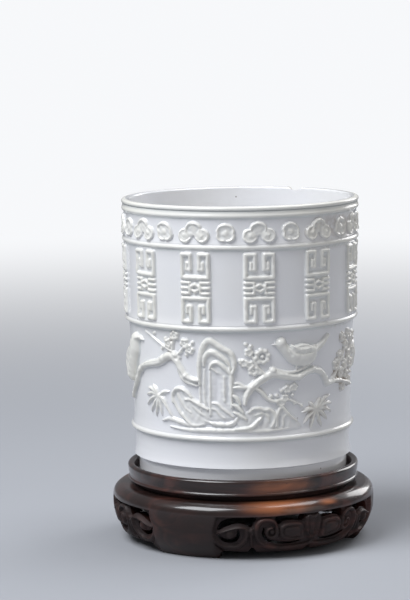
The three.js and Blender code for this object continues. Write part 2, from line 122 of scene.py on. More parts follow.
class Shader:
    """The node tree of a material or a world, built from expressions."""

    def __init__(self, owner: bpy.types.ID) -> None:
        """Starts with an empty tree.

        Args:
            owner: The material or world that the tree belongs to.
        """
        self.owner = owner
        self.owner.use_nodes = True
        self.tree = self.owner.node_tree
        self.tree.nodes.clear()

    def node(
        self,
        kind: str,
        settings: dict[str, object] | None = None,
        inputs: dict[str | int, object] | None = None,
        output: str | int = 0,
    ) -> Signal:
        """Adds a node of any type.

        Args:
            kind: The node's type name.
            settings: Attributes to set before the inputs.
            inputs: Values or signals by socket name or number.
            output: The socket to return.

        Returns:
            The chosen output.
        """
        node = self.tree.nodes.new(kind)
        for name, value in (settings or {}).items():
            setattr(node, name, value)
        for name, value in (inputs or {}).items():
            if isinstance(value, Signal):
                self.tree.links.new(value.socket, node.inputs[name])
            else:
                node.inputs[name].default_value = value
        return Signal(self, node.outputs[output])

    def position(self) -> Signal:
        """Object coordinates, in metres."""
        return self.node("ShaderNodeTexCoord", output="Object")

    def attribute(self, name: str) -> Signal:
        """A value stored on the mesh's points."""
        return self.node("ShaderNodeAttribute", {"attribute_name": name}, output="Fac")

    def stretched(self, vector: Signal, scale: Sequence[float]) -> Signal:
        """Coordinates stretched along each axis."""
        return self.node("ShaderNodeMapping", inputs={"Vector": vector, "Scale": scale})

    def distance(self, vector: Signal, spot: Sequence[float]) -> Signal:
        """How far coordinates are from a spot."""
        settings = {"operation": "DISTANCE"}
        return self.node("ShaderNodeVectorMath", settings, {0: vector, 1: spot}, output="Value")

    def noise(
        self, vector: Signal, scale: float, detail: float = 2.0, warp: float = 0.0,
    ) -> Signal:
        """Noise from 0 to 1.

        Args:
            vector: Coordinates.
            scale: Waves per metre of coordinate.
            detail: Octaves.
            warp: How strongly the pattern is stirred.

        Returns:
            The noise value.
        """
        inputs = {"Vector": vector, "Scale": scale, "Detail": detail, "Distortion": warp}
        return self.node("ShaderNodeTexNoise", inputs=inputs)

    def mix(self, factor: Signal | float, first: object, second: object) -> Signal:
        """Mixes two colours by a factor."""
        inputs = {0: factor, 6: self._rgba(first), 7: self._rgba(second)}
        return self.node("ShaderNodeMix", {"data_type": "RGBA"}, inputs, output=2)

    @staticmethod
    def _rgba(colour: object) -> object:
        """A colour with its alpha, or the signal as it is."""
        return colour if isinstance(colour, Signal) else (*colour, 1.0)

    def bump(self, height: Signal, distance: float, strength: float = 1.0) -> Signal:
        """A normal bent by a height pattern of this depth in metres."""
        inputs = {"Height": height, "Distance": distance, "Strength": strength}
        return self.node("ShaderNodeBump", inputs=inputs, output="Normal")

    def finish(self, surface: dict[str, object]) -> bpy.types.Material:
        """Ends the tree in a Principled shader.

        Args:
            surface: Values or signals for the shader's sockets.

        Returns:
            The material.
        """
        shader = self.node("ShaderNodeBsdfPrincipled", inputs=surface, output="BSDF")
        self.end(shader)
        return self.owner

    def end(self, shader: Signal, kind: str = "ShaderNodeOutputMaterial") -> None:
        """Links a shader to an output node of this type."""
        self.tree.links.new(shader.socket, self.tree.nodes.new(kind).inputs["Surface"])


@dataclass(frozen=True)
class PorcelainGlaze:
    """A clear glossy glaze over white porcelain. It is cooler and darker in hollows, at seams and
    in the inner corner, which paints shade there along with the glaze's pooling, and it is tinted
    cream on raised clay as a painted highlight.

    Scales are in waves per metre, radii and depths in metres.
    """

    white: Colour = (0.812, 0.812, 0.83)
    # Cream for raised clay: a painted warm highlight.
    highlight_cream: Colour = (0.81, 0.795, 0.735)
    # Darker, cooler glaze for hollows, seams and the inner corner: painted shade with the glaze's
    # pooling.
    pooled_and_shaded: Colour = (0.66, 0.685, 0.68)
    grime: Colour = (0.34, 0.26, 0.18)
    speck: Colour = (0.12, 0.075, 0.045)
    speck_places: tuple[Spot, ...] = ()
    speck_radius: float = 0.0006
    speck_scale: float = 70.0
    speck_share: float = 0.75
    tone_scale: float = 16.0
    tone_share: float = 0.3
    raised_highlight_share: float = 0.75
    grime_scale: float = 420.0
    grime_share: float = 0.85
    ripple_scale: float = 130.0
    pit_scale: float = 900.0
    ripple_depth: float = 0.00012
    wear_scale: float = 45.0
    wear: float = 0.10
    raised_wear: float = 0.08
    roughness: float = 0.11
    gloss: float = 0.5
    raised_gloss: float = 0.35

    def build(self) -> bpy.types.Material:
        """Builds the glaze.

        Returns:
            The material.
        """
        shader = Shader(bpy.data.materials.new("porcelain_glaze"))
        place = shader.position()
        tone = shader.noise(place, self.tone_scale, 3.0).step(0.35, 0.7)
        pooling_and_shade = shader.attribute("pooling_and_shade").clamped()
        raised = shader.attribute("raised").clamped()
        # Random tone, plus a cream tint on raised clay that paints a highlight.
        tone_and_highlight_tint = (tone * self.tone_share + raised * self.raised_highlight_share).clamped()
        colour = shader.mix(tone_and_highlight_tint, self.white, self.highlight_cream)
        # Hollows, seams and the inner corner darken: painted shade, with glaze pooling.
        colour = shader.mix(pooling_and_shade, colour, self.pooled_and_shaded)
        patchy = shader.noise(place, self.grime_scale, 3.0).step(0.25, 0.65)
        dirt = (shader.attribute("grime") * patchy).clamped()
        colour = shader.mix(dirt * self.grime_share, colour, self.grime)
        colour = shader.mix(self._specks(shader, place), colour, self.speck)
        ripples = shader.noise(place, self.ripple_scale)
        pits = shader.noise(place, self.pit_scale, 1.0)
        worn = shader.noise(place, self.wear_scale)
        return shader.finish({
            "Base Color": colour,
            "Roughness": worn * self.wear + raised * self.raised_wear + self.roughness,
            "IOR": 1.5,
            "Coat Weight": self.gloss - raised * self.raised_gloss,
            "Coat Roughness": 0.06,
            "Normal": shader.bump(ripples * 0.8 + pits * 0.2, self.ripple_depth, 0.6),
        })

    def _specks(self, shader: Shader, place: Signal) -> Signal:
        """Spreads iron specks: a few at known places, and fine ones scattered in the glaze.

        Args:
            shader: The glaze's shader.
            place: Object coordinates.

        Returns:
            How much of the specks' colour shows.
        """
        inputs = {"Vector": place, "Scale": self.speck_scale}
        mask = 1 - shader.node("ShaderNodeTexVoronoi", inputs=inputs).step(0.012, 0.03)
        for spot in self.speck_places:
            gap = shader.distance(place, spot)
            mask = mask + (1 - gap.step(0.3 * self.speck_radius, self.speck_radius))
        return mask.clamped() * self.speck_share


@dataclass(frozen=True)
class BarePorcelain:
    """Unglazed porcelain, where the foot ring was wiped and where the rim is chipped."""

    clean: Colour = (0.62, 0.59, 0.54)
    stained: Colour = (0.27, 0.22, 0.17)
    stain_scale: float = 240.0
    grain_scale: float = 1500.0
    grain_depth: float = 0.0001
    roughness: float = 0.75

    def build(self) -> bpy.types.Material:
        """Builds the bare body.

        Returns:
            The material.
        """
        shader = Shader(bpy.data.materials.new("bare_porcelain"))
        place = shader.position()
        stain = shader.noise(place, self.stain_scale, 4.0).step(0.4, 0.7)
        grain = shader.noise(place, self.grain_scale)
        return shader.finish({
            "Base Color": shader.mix(stain, self.clean, self.stained),
            "Roughness": self.roughness,
            "Normal": shader.bump(grain, self.grain_depth, 0.7),
        })


@dataclass(frozen=True)
class WaxedHardwood:
    """Dark close-grained hardwood, stained nearly black and polished with wax.

    Scales are in waves per metre, heights and depths in metres. The grain runs along X.
    """

    dark: Colour = (0.016, 0.0075, 0.006)
    red: Colour = (0.078, 0.027, 0.020)
    amber: Colour = (0.31, 0.105, 0.040)
    pore: Colour = (0.008, 0.004, 0.0035)
    dust: Colour = (0.050, 0.040, 0.042)
    amber_places: tuple[tuple[Spot, float], ...] = ()
    amber_squeeze: Spot = (1.0, 1.0, 4.6)
    ragged_stretch: Spot = (0.4, 0.4, 4.0)
    ragged_scale: float = 80.0
    ragged_reach: float = 0.0045
    figure_stretch: Spot = (0.22, 1.0, 1.0)
    figure_scale: float = 95.0
    patch_scale: float = 20.0
    pore_stretch: Spot = (0.06, 1.0, 1.0)
    pore_scale: float = 1300.0
    pore_share: float = 0.6
    dust_share: float = 0.4
    wear_scale: float = 60.0
    wear: float = 0.2
    roughness: float = 0.30
    hollow_roughness: float = 0.4
    gloss: float = 0.35
    handled: Point = (0.018, 0.025)
    handled_gloss: float = 0.4
    hollow_gloss: float = 0.9
    grain_depth: float = 0.00010

    def build(self) -> bpy.types.Material:
        """Builds the wood.

        Returns:
            The material.
        """
        shader = Shader(bpy.data.materials.new("waxed_hardwood"))
        place = shader.position()
        along = shader.stretched(place, self.figure_stretch)
        figure = shader.noise(along, self.figure_scale, 5.0, 1.2)
        patch = shader.noise(place, self.patch_scale).step(0.3, 0.7)
        pores = shader.noise(shader.stretched(place, self.pore_stretch), self.pore_scale)
        hollow = shader.attribute("hollow").clamped()
        redness = figure.step(0.38, 0.72) * (patch * 0.7 + 0.3)
        colour = shader.mix(redness, self.dark, self.red)
        pale = self._amber(shader, place) * (figure.step(0.25, 0.6) * 0.4 + 0.6) * (1 - hollow)
        colour = shader.mix(pale.clamped(), colour, self.amber)
        colour = shader.mix(pores.step(0.62, 0.78) * self.pore_share, colour, self.pore)
        colour = shader.mix(hollow * self.dust_share, colour, self.dust)
        worn = shader.noise(place, self.wear_scale, 3.0)
        height = shader.node("ShaderNodeSeparateXYZ", inputs={0: place}, output="Z")
        polish = height.step(*self.handled)
        roughness = worn * self.wear + self.roughness - polish * 0.05
        gloss = polish * self.handled_gloss + self.gloss - hollow * self.hollow_gloss
        return shader.finish({
            "Base Color": colour,
            "Roughness": (roughness + hollow * self.hollow_roughness).clamped(),
            "IOR": 1.36,
            "Coat Weight": gloss.clamped(),
            "Coat Roughness": 0.09,
            "Normal": shader.bump(figure * 0.5 + pores * 0.5, self.grain_depth, 0.6),
        })

    def _amber(self, shader: Shader, place: Signal) -> Signal:
        """Spreads stretches of paler wood with ragged ends, flat and long round the turning.

        Args:
            shader: The wood's shader.
            place: Object coordinates.

        Returns:
            How much of the paler wood shows.
        """
        frayed = shader.noise(
            shader.stretched(place, self.ragged_stretch), self.ragged_scale, 4.0,
        ) * (2 * self.ragged_reach) - self.ragged_reach
        flat = shader.stretched(place, self.amber_squeeze)
        share: Signal | float = 0.0
        for spot, reach in self.amber_places:
            middle = tuple(a * b for a, b in zip(spot, self.amber_squeeze))
            gap = shader.distance(flat, middle) + frayed
            share = (1 - gap.step(0.1 * reach, reach)) + share
        return share.clamped()


# Paths and modelled relief


def curved(points: Path, steps: int = 5, closed: bool = False) -> np.ndarray:
    """A smooth path through points.

    Args:
        points: The points, in order.
        steps: New points for each stretch.
        closed: Whether the path returns to its start.

    Returns:
        An array of points.
    """
    p = np.asarray(points, float)
    padded = np.vstack([p[-1:], p, p[:2]]) if closed else np.vstack([p[:1], p, p[-1:]])
    out = []
    for a, b, c, d in zip(padded, padded[1:], padded[2:], padded[3:]):
        for t in np.arange(steps) / steps:
            out.append(0.5 * (2 * b + (c - a) * t + (2 * a - 5 * b + 4 * c - d) * t**2
                              + (3 * b - a - 3 * c + d) * t**3))
    if not closed:
        out.append(p[-1])
    return np.array(out)


def smoothstep(value: np.ndarray) -> np.ndarray:
    """A smooth rise from 0 to 1 over values from 0 to 1."""
    t = np.clip(value, 0, 1)
    return t * t * (3 - 2 * t)


class Section(Enum):
    """The shape of a strip of clay or wood across its length."""

    ROUND = "round"
    RIDGE = "ridge"
    FLAT = "flat"

    def height(self, share: np.ndarray) -> np.ndarray:
        """Works out a strip's height across its width.

        Args:
            share: Distance from the crest, as a share of the half width.

        Returns:
            Height, as a share of the crest's.
        """
        share = np.clip(share, 0, 1)
        if self is Section.ROUND:
            return np.sqrt(1 - share**2)
        if self is Section.RIDGE:
            return 1 - share**1.2
        return 1 - smoothstep((share - 0.5) / 0.5)


class Relief:
    """Heights modelled on an unrolled wall, in millimetres."""

    THINNEST = 0.05
    WAVES = 9
    PROUD = 0.6

    def __init__(self, x: np.ndarray, z: np.ndarray) -> None:
        """Starts with a bare wall.

        Args:
            x: Arc length from the middle bearing, a row of points for each height.
            z: Height of each point.
        """
        self.x = x
        self.z = z
        self.height = np.zeros(x.shape)

    @classmethod
    def over(cls, low: Point, high: Point, cell: float) -> "Relief":
        """A bare patch of wall with a square grid.

        Args:
            low: Lowest arc length and height.
            high: Highest arc length and height.
            cell: Grid step.

        Returns:
            The patch.
        """
        across = np.arange(low[0], high[0] + cell, cell)
        up = np.arange(low[1], high[1] + cell, cell)
        x, z = np.meshgrid(across, up)
        return cls(x, z)

    def near(self, path: np.ndarray) -> tuple[np.ndarray, np.ndarray]:
        """Measures how near a path passes.

        Args:
            path: The path's points.

        Returns:
            For each grid point its distance to the path, and the share of the path's length there.
        """
        best = np.full(self.x.shape, np.inf)
        share = np.zeros(self.x.shape)
        lengths = np.hypot(*np.diff(path, axis=0).T)
        total = max(lengths.sum(), 1e-9)
        done = 0.0
        for (ax, az), (bx, bz), length in zip(path, path[1:], lengths):
            dx, dz = bx - ax, bz - az
            t = ((self.x - ax) * dx + (self.z - az) * dz) / max(length**2, 1e-12)
            t = np.clip(t, 0, 1)
            gap = np.hypot(self.x - ax - t * dx, self.z - az - t * dz)
            closer = gap < best
            best[closer] = gap[closer]
            share[closer] = ((done + t * length) / total)[closer]
            done += length
        return best, share

    def inside(self, outline: np.ndarray) -> np.ndarray:
        """Finds the grid points inside a closed outline.

        Args:
            outline: Its corners, in order.

        Returns:
            True for each grid point inside.
        """
        hit = np.zeros(self.x.shape, bool)
        for (ax, az), (bx, bz) in zip(outline, np.roll(outline, -1, axis=0)):
            if az == bz:
                continue
            spans = (self.z >= min(az, bz)) & (self.z < max(az, bz))
            crossing = ax + (self.z - az) * (bx - ax) / (bz - az)
            hit ^= spans & (self.x < crossing)
        return hit

    def add(self, clay: np.ndarray) -> None:
        """Lays clay over what is there; the higher of the two shows."""
        self.height = np.maximum(self.height, clay)

    def strip(
        self,
        points: Path,
        widths: Sequence[float],
        height: float,
        section: Section = Section.ROUND,
        base: float = 0.0,
    ) -> None:
        """Lays a strip of clay along a path.

        Args:
            points: The path's points.
            widths: Full widths, spread evenly from the path's start to its end.
            height: Height of the crest above the base.
            section: Shape across the strip.
            base: Height that the strip lies on.
        """
        path = curved(points) if len(points) > 2 else np.asarray(points, float)
        gap, share = self.near(path)
        half = np.interp(share, np.linspace(0, 1, len(widths)), widths) / 2
        within = gap < half
        clay = base + height * section.height(gap / np.maximum(half, 1e-6))
        self.add(np.where(within, clay, 0))

    def dome(self, centre: Point, radius: float, height: float, base: float = 0.0,
             tall: float = 1.0) -> None:
        """Presses on a round boss.

        Args:
            centre: Its middle.
            radius: Its radius along the wall.
            height: Its height above the base.
            base: Height that it lies on.
            tall: Its radius upwards, as a share of the other one.
        """
        gap = np.hypot(self.x - centre[0], (self.z - centre[1]) / tall) / radius
        self.add(np.where(gap < 1, base + height * np.sqrt(1 - np.minimum(gap, 1) ** 2), 0))

    def slab(self, outline: Path, height: float, edge: float, base: float = 0.0) -> None:
        """Lays a cushion of clay inside a closed outline.

        Args:
            outline: Its corners, which are rounded.
            height: Height of its top above the base.
            edge: Width of its rounded edge.
            base: Height that it lies on.
        """
        rim = curved(outline, 4, closed=True)
        gap, _ = self.near(np.vstack([rim, rim[:1]]))
        rise = np.sqrt(1 - (1 - np.clip(gap / edge, 0, 1)) ** 2)
        self.add(np.where(self.inside(rim), base + height * rise, 0))

    def groove(self, points: Path, width: float, depth: float) -> None:
        """Cuts a tooled line into what stands proud.

        Args:
            points: The line's points.
            width: Its width.
            depth: How deep it is cut.
        """
        path = curved(points) if len(points) > 2 else np.asarray(points, float)
        gap, _ = self.near(path)
        cut = depth * np.exp(-((2 * gap / width) ** 2))
        left = np.maximum(self.height - cut, self.THINNEST)
        self.height = np.where(self.height > 0, left, 0)

    def roughen(self, amount: float, size: float, seed: int) -> None:
        """Makes what stands proud a little uneven, as fingers leave it.

        Args:
            amount: Depth of the unevenness.
            size: Its usual width.
            seed: Chooses the pattern.
        """
        draw = np.random.default_rng(seed)
        wave = np.zeros(self.x.shape)
        for _ in range(self.WAVES):
            turn, phase = draw.uniform(0, 2 * math.pi, 2)
            pace = 2 * math.pi / (size * draw.uniform(0.6, 1.8))
            along = self.x * math.cos(turn) + self.z * math.sin(turn)
            wave += np.sin(pace * along + phase)
        proud = np.clip(self.height / self.PROUD, 0, 1)
        self.height += amount * proud * wave / math.sqrt(self.WAVES)

    def soften(self, spread: float, cell: float) -> None:
        """Rounds every edge, as glaze does.

        Args:
            spread: Width of the rounding.
            cell: The grid's step.
        """
        reach = max(1, int(math.ceil(2.5 * spread / cell)))
        offsets = np.arange(-reach, reach + 1)
        weights = np.exp(-0.5 * (offsets * cell / spread) ** 2)
        weights /= weights.sum()
        for axis in (0, 1):
            margins = [(reach, reach) if i == axis else (0, 0) for i in (0, 1)]
            wide = np.pad(self.height, margins)
            length = self.height.shape[axis]
            self.height = sum(
                w * np.take(wide, np.arange(i, i + length), axis=axis)
                for i, w in enumerate(weights)
            )


# Meshes


def mesh_object(name: str, points: np.ndarray, faces: np.ndarray) -> bpy.types.Object:
    """Makes an object from points in millimetres and four-sided faces.

    Args:
        name: The object's name.
        points: One row for each point.
        faces: Four point numbers for each face.

    Returns:
        The object, smooth shaded.
    """
    mesh = bpy.data.meshes.new(name)
    mesh.vertices.add(len(points))
    mesh.vertices.foreach_set("co", (points * MM).astype(np.float32).ravel())
    mesh.loops.add(faces.size)
    mesh.loops.foreach_set("vertex_index", faces.astype(np.int32).ravel())
    mesh.polygons.add(len(faces))
    mesh.polygons.foreach_set("loop_start", np.arange(0, faces.size, 4, dtype=np.int32))
    mesh.polygons.foreach_set("use_smooth", np.ones(len(faces), bool))
    mesh.update(calc_edges=True)
    mesh.validate()
    obj = bpy.data.objects.new(name, mesh)
    bpy.context.scene.collection.objects.link(obj)
    return obj


def round_axis(radius: np.ndarray, turn: np.ndarray, height: np.ndarray) -> np.ndarray:
    """Points round the Z axis, from radii, angles in radians from the front, and heights."""
    return np.stack([radius * np.sin(turn), -radius * np.cos(turn), height], axis=-1)


def polar(obj: bpy.types.Object) -> tuple[np.ndarray, np.ndarray, np.ndarray]:
    """Reads where a mesh's points are, seen round the Z axis.

    Args:
        obj: The object.

    Returns:
        Each point's bearing in degrees, and its radius and height in millimetres.
    """
    co = np.zeros(len(obj.data.vertices) * 3)
    obj.data.vertices.foreach_get("co", co)
    x, y, z = co.reshape(-1, 3).T / MM
    return np.degrees(np.arctan2(x, -y)), np.hypot(x, y), z


def store(obj: bpy.types.Object, name: str, values: np.ndarray) -> None:
    """Stores a value for each point of a mesh."""
    attribute = obj.data.attributes.new(name, "FLOAT", "POINT")
    attribute.data.foreach_set("value", values.astype(np.float32).ravel())


def only(obj: bpy.types.Object) -> None:
    """Selects one object and makes it active.

    Args:
        obj: The object.
    """
    bpy.ops.object.select_all(action="DESELECT")
    obj.select_set(True)
    bpy.context.view_layer.objects.active = obj


def around(bearing: float, radius: float, height: float) -> Vector:
    """A point in metres from a bearing in degrees, a radius and a height in millimetres."""
    turn = math.radians(bearing)
    return Vector((radius * math.sin(turn), -radius * math.cos(turn), height)) * MM


def turned(name: str, profile: Path, sides: int) -> bpy.types.Object:
    """Turns a profile on the axis: a circle is extruded ring by ring and sized at each step.

    Args:
        name: The object's name.
        profile: Radius and height of each ring, in millimetres, outwards from the underside.
        sides: Points round each ring.

    Returns:
        The closed object, with its two end rings filled.
    """
    bpy.ops.object.select_all(action="DESELECT")
    (radius, height), *rest = profile
    bpy.ops.mesh.primitive_circle_add(vertices=sides, radius=radius * MM,
                                      location=(0, 0, height * MM))
    obj = bpy.context.active_object
    obj.name = obj.data.name = name
    bpy.ops.object.transform_apply(location=True, rotation=True, scale=True)
    bpy.ops.object.mode_set(mode="EDIT")
    bpy.ops.mesh.select_all(action="SELECT")
    bpy.ops.mesh.edge_face_add()
    for next_radius, next_height in rest:
        bpy.ops.mesh.extrude_region_move(
            TRANSFORM_OT_translate={"value": (0, 0, (next_height - height) * MM)},
        )
        share = next_radius / radius
        bpy.ops.transform.resize(value=(share, share, 1), center_override=(0, 0, next_height * MM))
        radius, height = next_radius, next_height
    bpy.ops.mesh.select_all(action="SELECT")
    bpy.ops.mesh.normals_make_consistent(inside=False)
    bpy.ops.object.mode_set(mode="OBJECT")
    bpy.ops.object.shade_smooth_by_angle(angle=CREASE)
    return obj


def carve_away(
    obj: bpy.types.Object, cutters: Sequence[bpy.types.Object], solver: str = "EXACT",
) -> None:
    """Cuts shapes out of an object in one go and removes them.

    Args:
        obj: The object to cut.
        cutters: Closed shapes that don't overlap one another.
        solver: How Blender works out the cut.
    """
    bpy.ops.object.select_all(action="DESELECT")
    for cutter in cutters:
        cutter.select_set(True)
    bpy.context.view_layer.objects.active = cutters[0]
    if len(cutters) > 1:
        bpy.ops.object.join()
    only(obj)
    cut = obj.modifiers.new("cut", "BOOLEAN")
    cut.operation = "DIFFERENCE"
    cut.solver = solver
    cut.object = cutters[0]
    bpy.ops.object.modifier_apply(modifier=cut.name)
    bpy.data.objects.remove(cutters[0])


def dress(
    obj: bpy.types.Object, body: str, slot: str, nodes: Sequence[str],
    *finishes: bpy.types.Material,
) -> None:
    """Gives a piece its finishes and its place in the model.

    Args:
        obj: The piece.
        body: The body that it moves with.
        slot: The record's material slot, which is not used.
        nodes: The plain solids that it stands for.
        finishes: Its materials, in slot order.
    """
    for number, finish in enumerate(finishes):
        if number < len(obj.material_slots):
            obj.material_slots[number].material = finish
        else:
            obj.data.materials.append(finish)
    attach(obj, body)
    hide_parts(*nodes)
    log.info("%s: %d faces", obj.name, len(obj.data.polygons))


# The pot


@dataclass(frozen=True)
class Band:
    """A band of the pot's wall, in millimetres, swept out to the rings at its edges.

    Its bottom is a height above the foot. `low` and `high` are its radii at bottom and top.
    """

    bottom: float
    height: float
    low: float
    high: float
    flare_low: float = 0.6
    flare_high: float = 0.42
    reach_low: float = 5.5
    reach_high: float = 6.5

    @property
    def top(self) -> float:
        """Height of the band's upper edge."""
        return self.bottom + self.height

    @property
    def middle(self) -> float:
        """The wall's radius half-way up."""
        return (self.low + self.high) / 2

    @property
    def middle_z(self) -> float:
        """Height of the band's middle."""
        return self.bottom + self.height / 2

    def radius(self, z: np.ndarray | float) -> np.ndarray | float:
        """Works out the wall's radius.

        Args:
            z: A height above the foot, or several.

        Returns:
            The radius there.
        """
        cone = self.low + (self.high - self.low) * (z - self.bottom) / self.height
        below = np.clip(1 - (z - self.bottom) / self.reach_low, 0, 1)
        above = np.clip(1 - (self.top - z) / self.reach_high, 0, 1)
        return cone + self.flare_low * below**2.2 + self.flare_high * above**2


@dataclass(frozen=True)
class PotForm:
    """Sizes of the thrown pot, in millimetres. Heights are above its foot."""

    foot_z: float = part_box("pot_body")[0].z / MM
    height: float = (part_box("pot_body")[1].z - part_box("pot_body")[0].z) / MM
    lip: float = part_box("pot_body")[1].x / MM
    foot: float = 52.0
    foot_ring: float = 7.0
    foot_recess: float = 3.0
    foot_height: float = 10.0
    step: float = 54.4
    waist: float = 53.35
    floor: float = 6.0
    wall: float = 4.0
    plain_height: float = 13.25
    tablet_height: float = 36.35
    cloud_height: float = 12.1
    bead: float = 3.75
    lip_height: float = 2.3
    groove: float = 0.55
    rib: float = 3.0
    rib_bead: float = 1.35
    rib_prouds: tuple[float, float, float] = (1.55, 1.2, 1.15)
    picture_radii: Point = (54.1, 55.7)
    tablet_radii: Point = (56.9, 57.4)
    cloud_radii: Point = (57.7, 57.5)
    inner_corner: float = 5.0

    @property
    def cloud(self) -> Band:
        """The band of cloud heads under the lip."""
        bottom = self.height - self.lip_height - self.bead - self.cloud_height
        return Band(bottom, self.cloud_height, *self.cloud_radii, reach_low=4.5, reach_high=5.5)

    @property
    def tablet(self) -> Band:
        """The wide band of fret tablets."""
        bottom = self.cloud.bottom - self.rib - self.tablet_height
        return Band(bottom, self.tablet_height, *self.tablet_radii)

    @property
    def picture(self) -> Band:
        """The band with the garden scene."""
        bottom = self.plain.top + self.rib
        return Band(bottom, self.tablet.bottom - self.rib - bottom, *self.picture_radii)

    @property
    def plain(self) -> Band:
        """The bare band above the foot.

        Returns:
            The band.
        """
        radii = (self.waist, self.waist + 0.2)
        flares = (self.step - self.waist, 0.45)
        return Band(self.foot_height, self.plain_height, *radii, *flares, 6.5, 5.0)

    def outer_radius(self, z: np.ndarray) -> np.ndarray:
        """The outer wall with its ribs and beads, from the foot's step to the lip's bead.

        Args:
            z: Heights above the foot.

        Returns:
            The radius at each height.
        """
        plain, picture, tablet, cloud = self.plain, self.picture, self.tablet, self.cloud
        groove = self.lip - self.groove
        bead_z, bead = cloud.top + 0.40 * self.bead, self.lip - 0.05
        knots = [(0, self.foot), (self.foot_height - 0.25, self.foot)]
        for band in (plain, picture, tablet, cloud):
            levels = np.linspace(band.bottom, band.top, 40)
            knots += [(level, band.radius(level)) for level in levels]
        slope = self.height - self.lip_height - bead_z
        knots += [
            (bead_z + t * slope, groove + (bead - groove) * (1 - t) ** 1.7)
            for t in np.linspace(0, 1, 8)
        ]
        knots.append((self.height, groove))
        heights, radii = np.array(knots).T
        radius = np.interp(z, heights, radii)
        crests = [
            (band.bottom - self.rib / 2 - 0.1, band.low + proud, self.rib_bead)
            for band, proud in zip((picture, tablet, cloud), self.rib_prouds)
        ]
        crests.append((bead_z, bead, 1.5))
        for centre, crest, half in crests:
            share = np.abs(z - centre) / half
            ring = crest - 1.1 * half * (1 - np.sqrt(np.clip(1 - share**2, 0, 1)))
            radius = np.where(share < 1, np.maximum(radius, ring), radius)
        return radius

    def rings(self) -> list[Point]:
        """Lists every ring, from the underside round to the inner floor, closest at the bends.

        Returns:
            Radius and height of each ring.
        """
        fine, softness, reach = 0.05, 0.14, 12
        sharp, gentle = 0.12, 0.01
        z = np.arange(0, self.height, fine)
        radius = np.pad(self.outer_radius(z), reach, mode="edge")
        kernel = np.exp(-0.5 * (np.arange(-reach, reach + 1) * fine / softness) ** 2)
        smooth = np.convolve(radius, kernel / kernel.sum(), mode="valid")
        bend = np.abs(np.gradient(np.gradient(smooth, fine), fine))
        lip_z = self.height - self.lip_height / 2
        heights = [1.2]
        for height, turn in zip(z, bend):
            step = 0.17 if turn > sharp else 0.6 if turn > gentle else 3.0
            if heights[-1] + step <= height < lip_z - 1.15:
                heights.append(float(height))
        outer = [(float(np.interp(h, z, smooth)), h) for h in heights]
        return self._underside() + outer + self._lip(lip_z) + self._inside(lip_z)

    def _underside(self) -> list[Point]:
        """Lists the rings of the glazed recess under the foot, and of the foot ring.

        Returns:
            Radius and height of each ring.
        """
        inner = self.foot - self.foot_ring
        return [
            (2, self.foot_recess), (inner - 1.2, self.foot_recess),
            (inner - 0.4, self.foot_recess - 0.4), (inner + 0.2, 0.8), (inner + 0.9, 0.15),
            (inner + 1.5, 0), (self.foot - 1.4, 0), (self.foot - 0.6, 0.25),
            (self.foot - 0.15, 0.7),
        ]

    def _lip(self, middle: float) -> list[Point]:
        """Lists the rings of the lip's bead, from its groove over its flattened top.

        Args:
            middle: Height of the bead's middle.

        Returns:
            Radius and height of each ring.
        """
        half, reach, squareness = self.wall / 2, self.lip_height / 2, 2.6
        rings = []
        for turn in np.linspace(-62, 180, 30):
            across, up = math.cos(math.radians(turn)), math.sin(math.radians(turn))
            swell = (abs(across) ** squareness + abs(up) ** squareness) ** (-1 / squareness)
            rings.append((self.lip - half + half * swell * across, middle + reach * swell * up))
        return rings

    def _inside(self, top: float) -> list[Point]:
        """Lists the rings of the inner wall, its rounded corner and the floor.

        Args:
            top: Height where the wall leaves the lip.

        Returns:
            Radius and height of each ring.
        """
        well, inner = self.picture.low - self.wall, self.lip - self.wall
        corner = self.inner_corner
        low = self.floor + corner
        shares = np.linspace(0.01, 1, 28)
        rings = [(inner + (well - inner) * t, top + (low - top) * t) for t in shares]
        for turn in np.linspace(12, 90, 8):
            angle = math.radians(turn)
            rings.append((well - corner + corner * math.cos(angle), low - corner * math.sin(angle)))
        return rings + [(well * share, self.floor) for share in (0.7, 0.35, 0.04)]


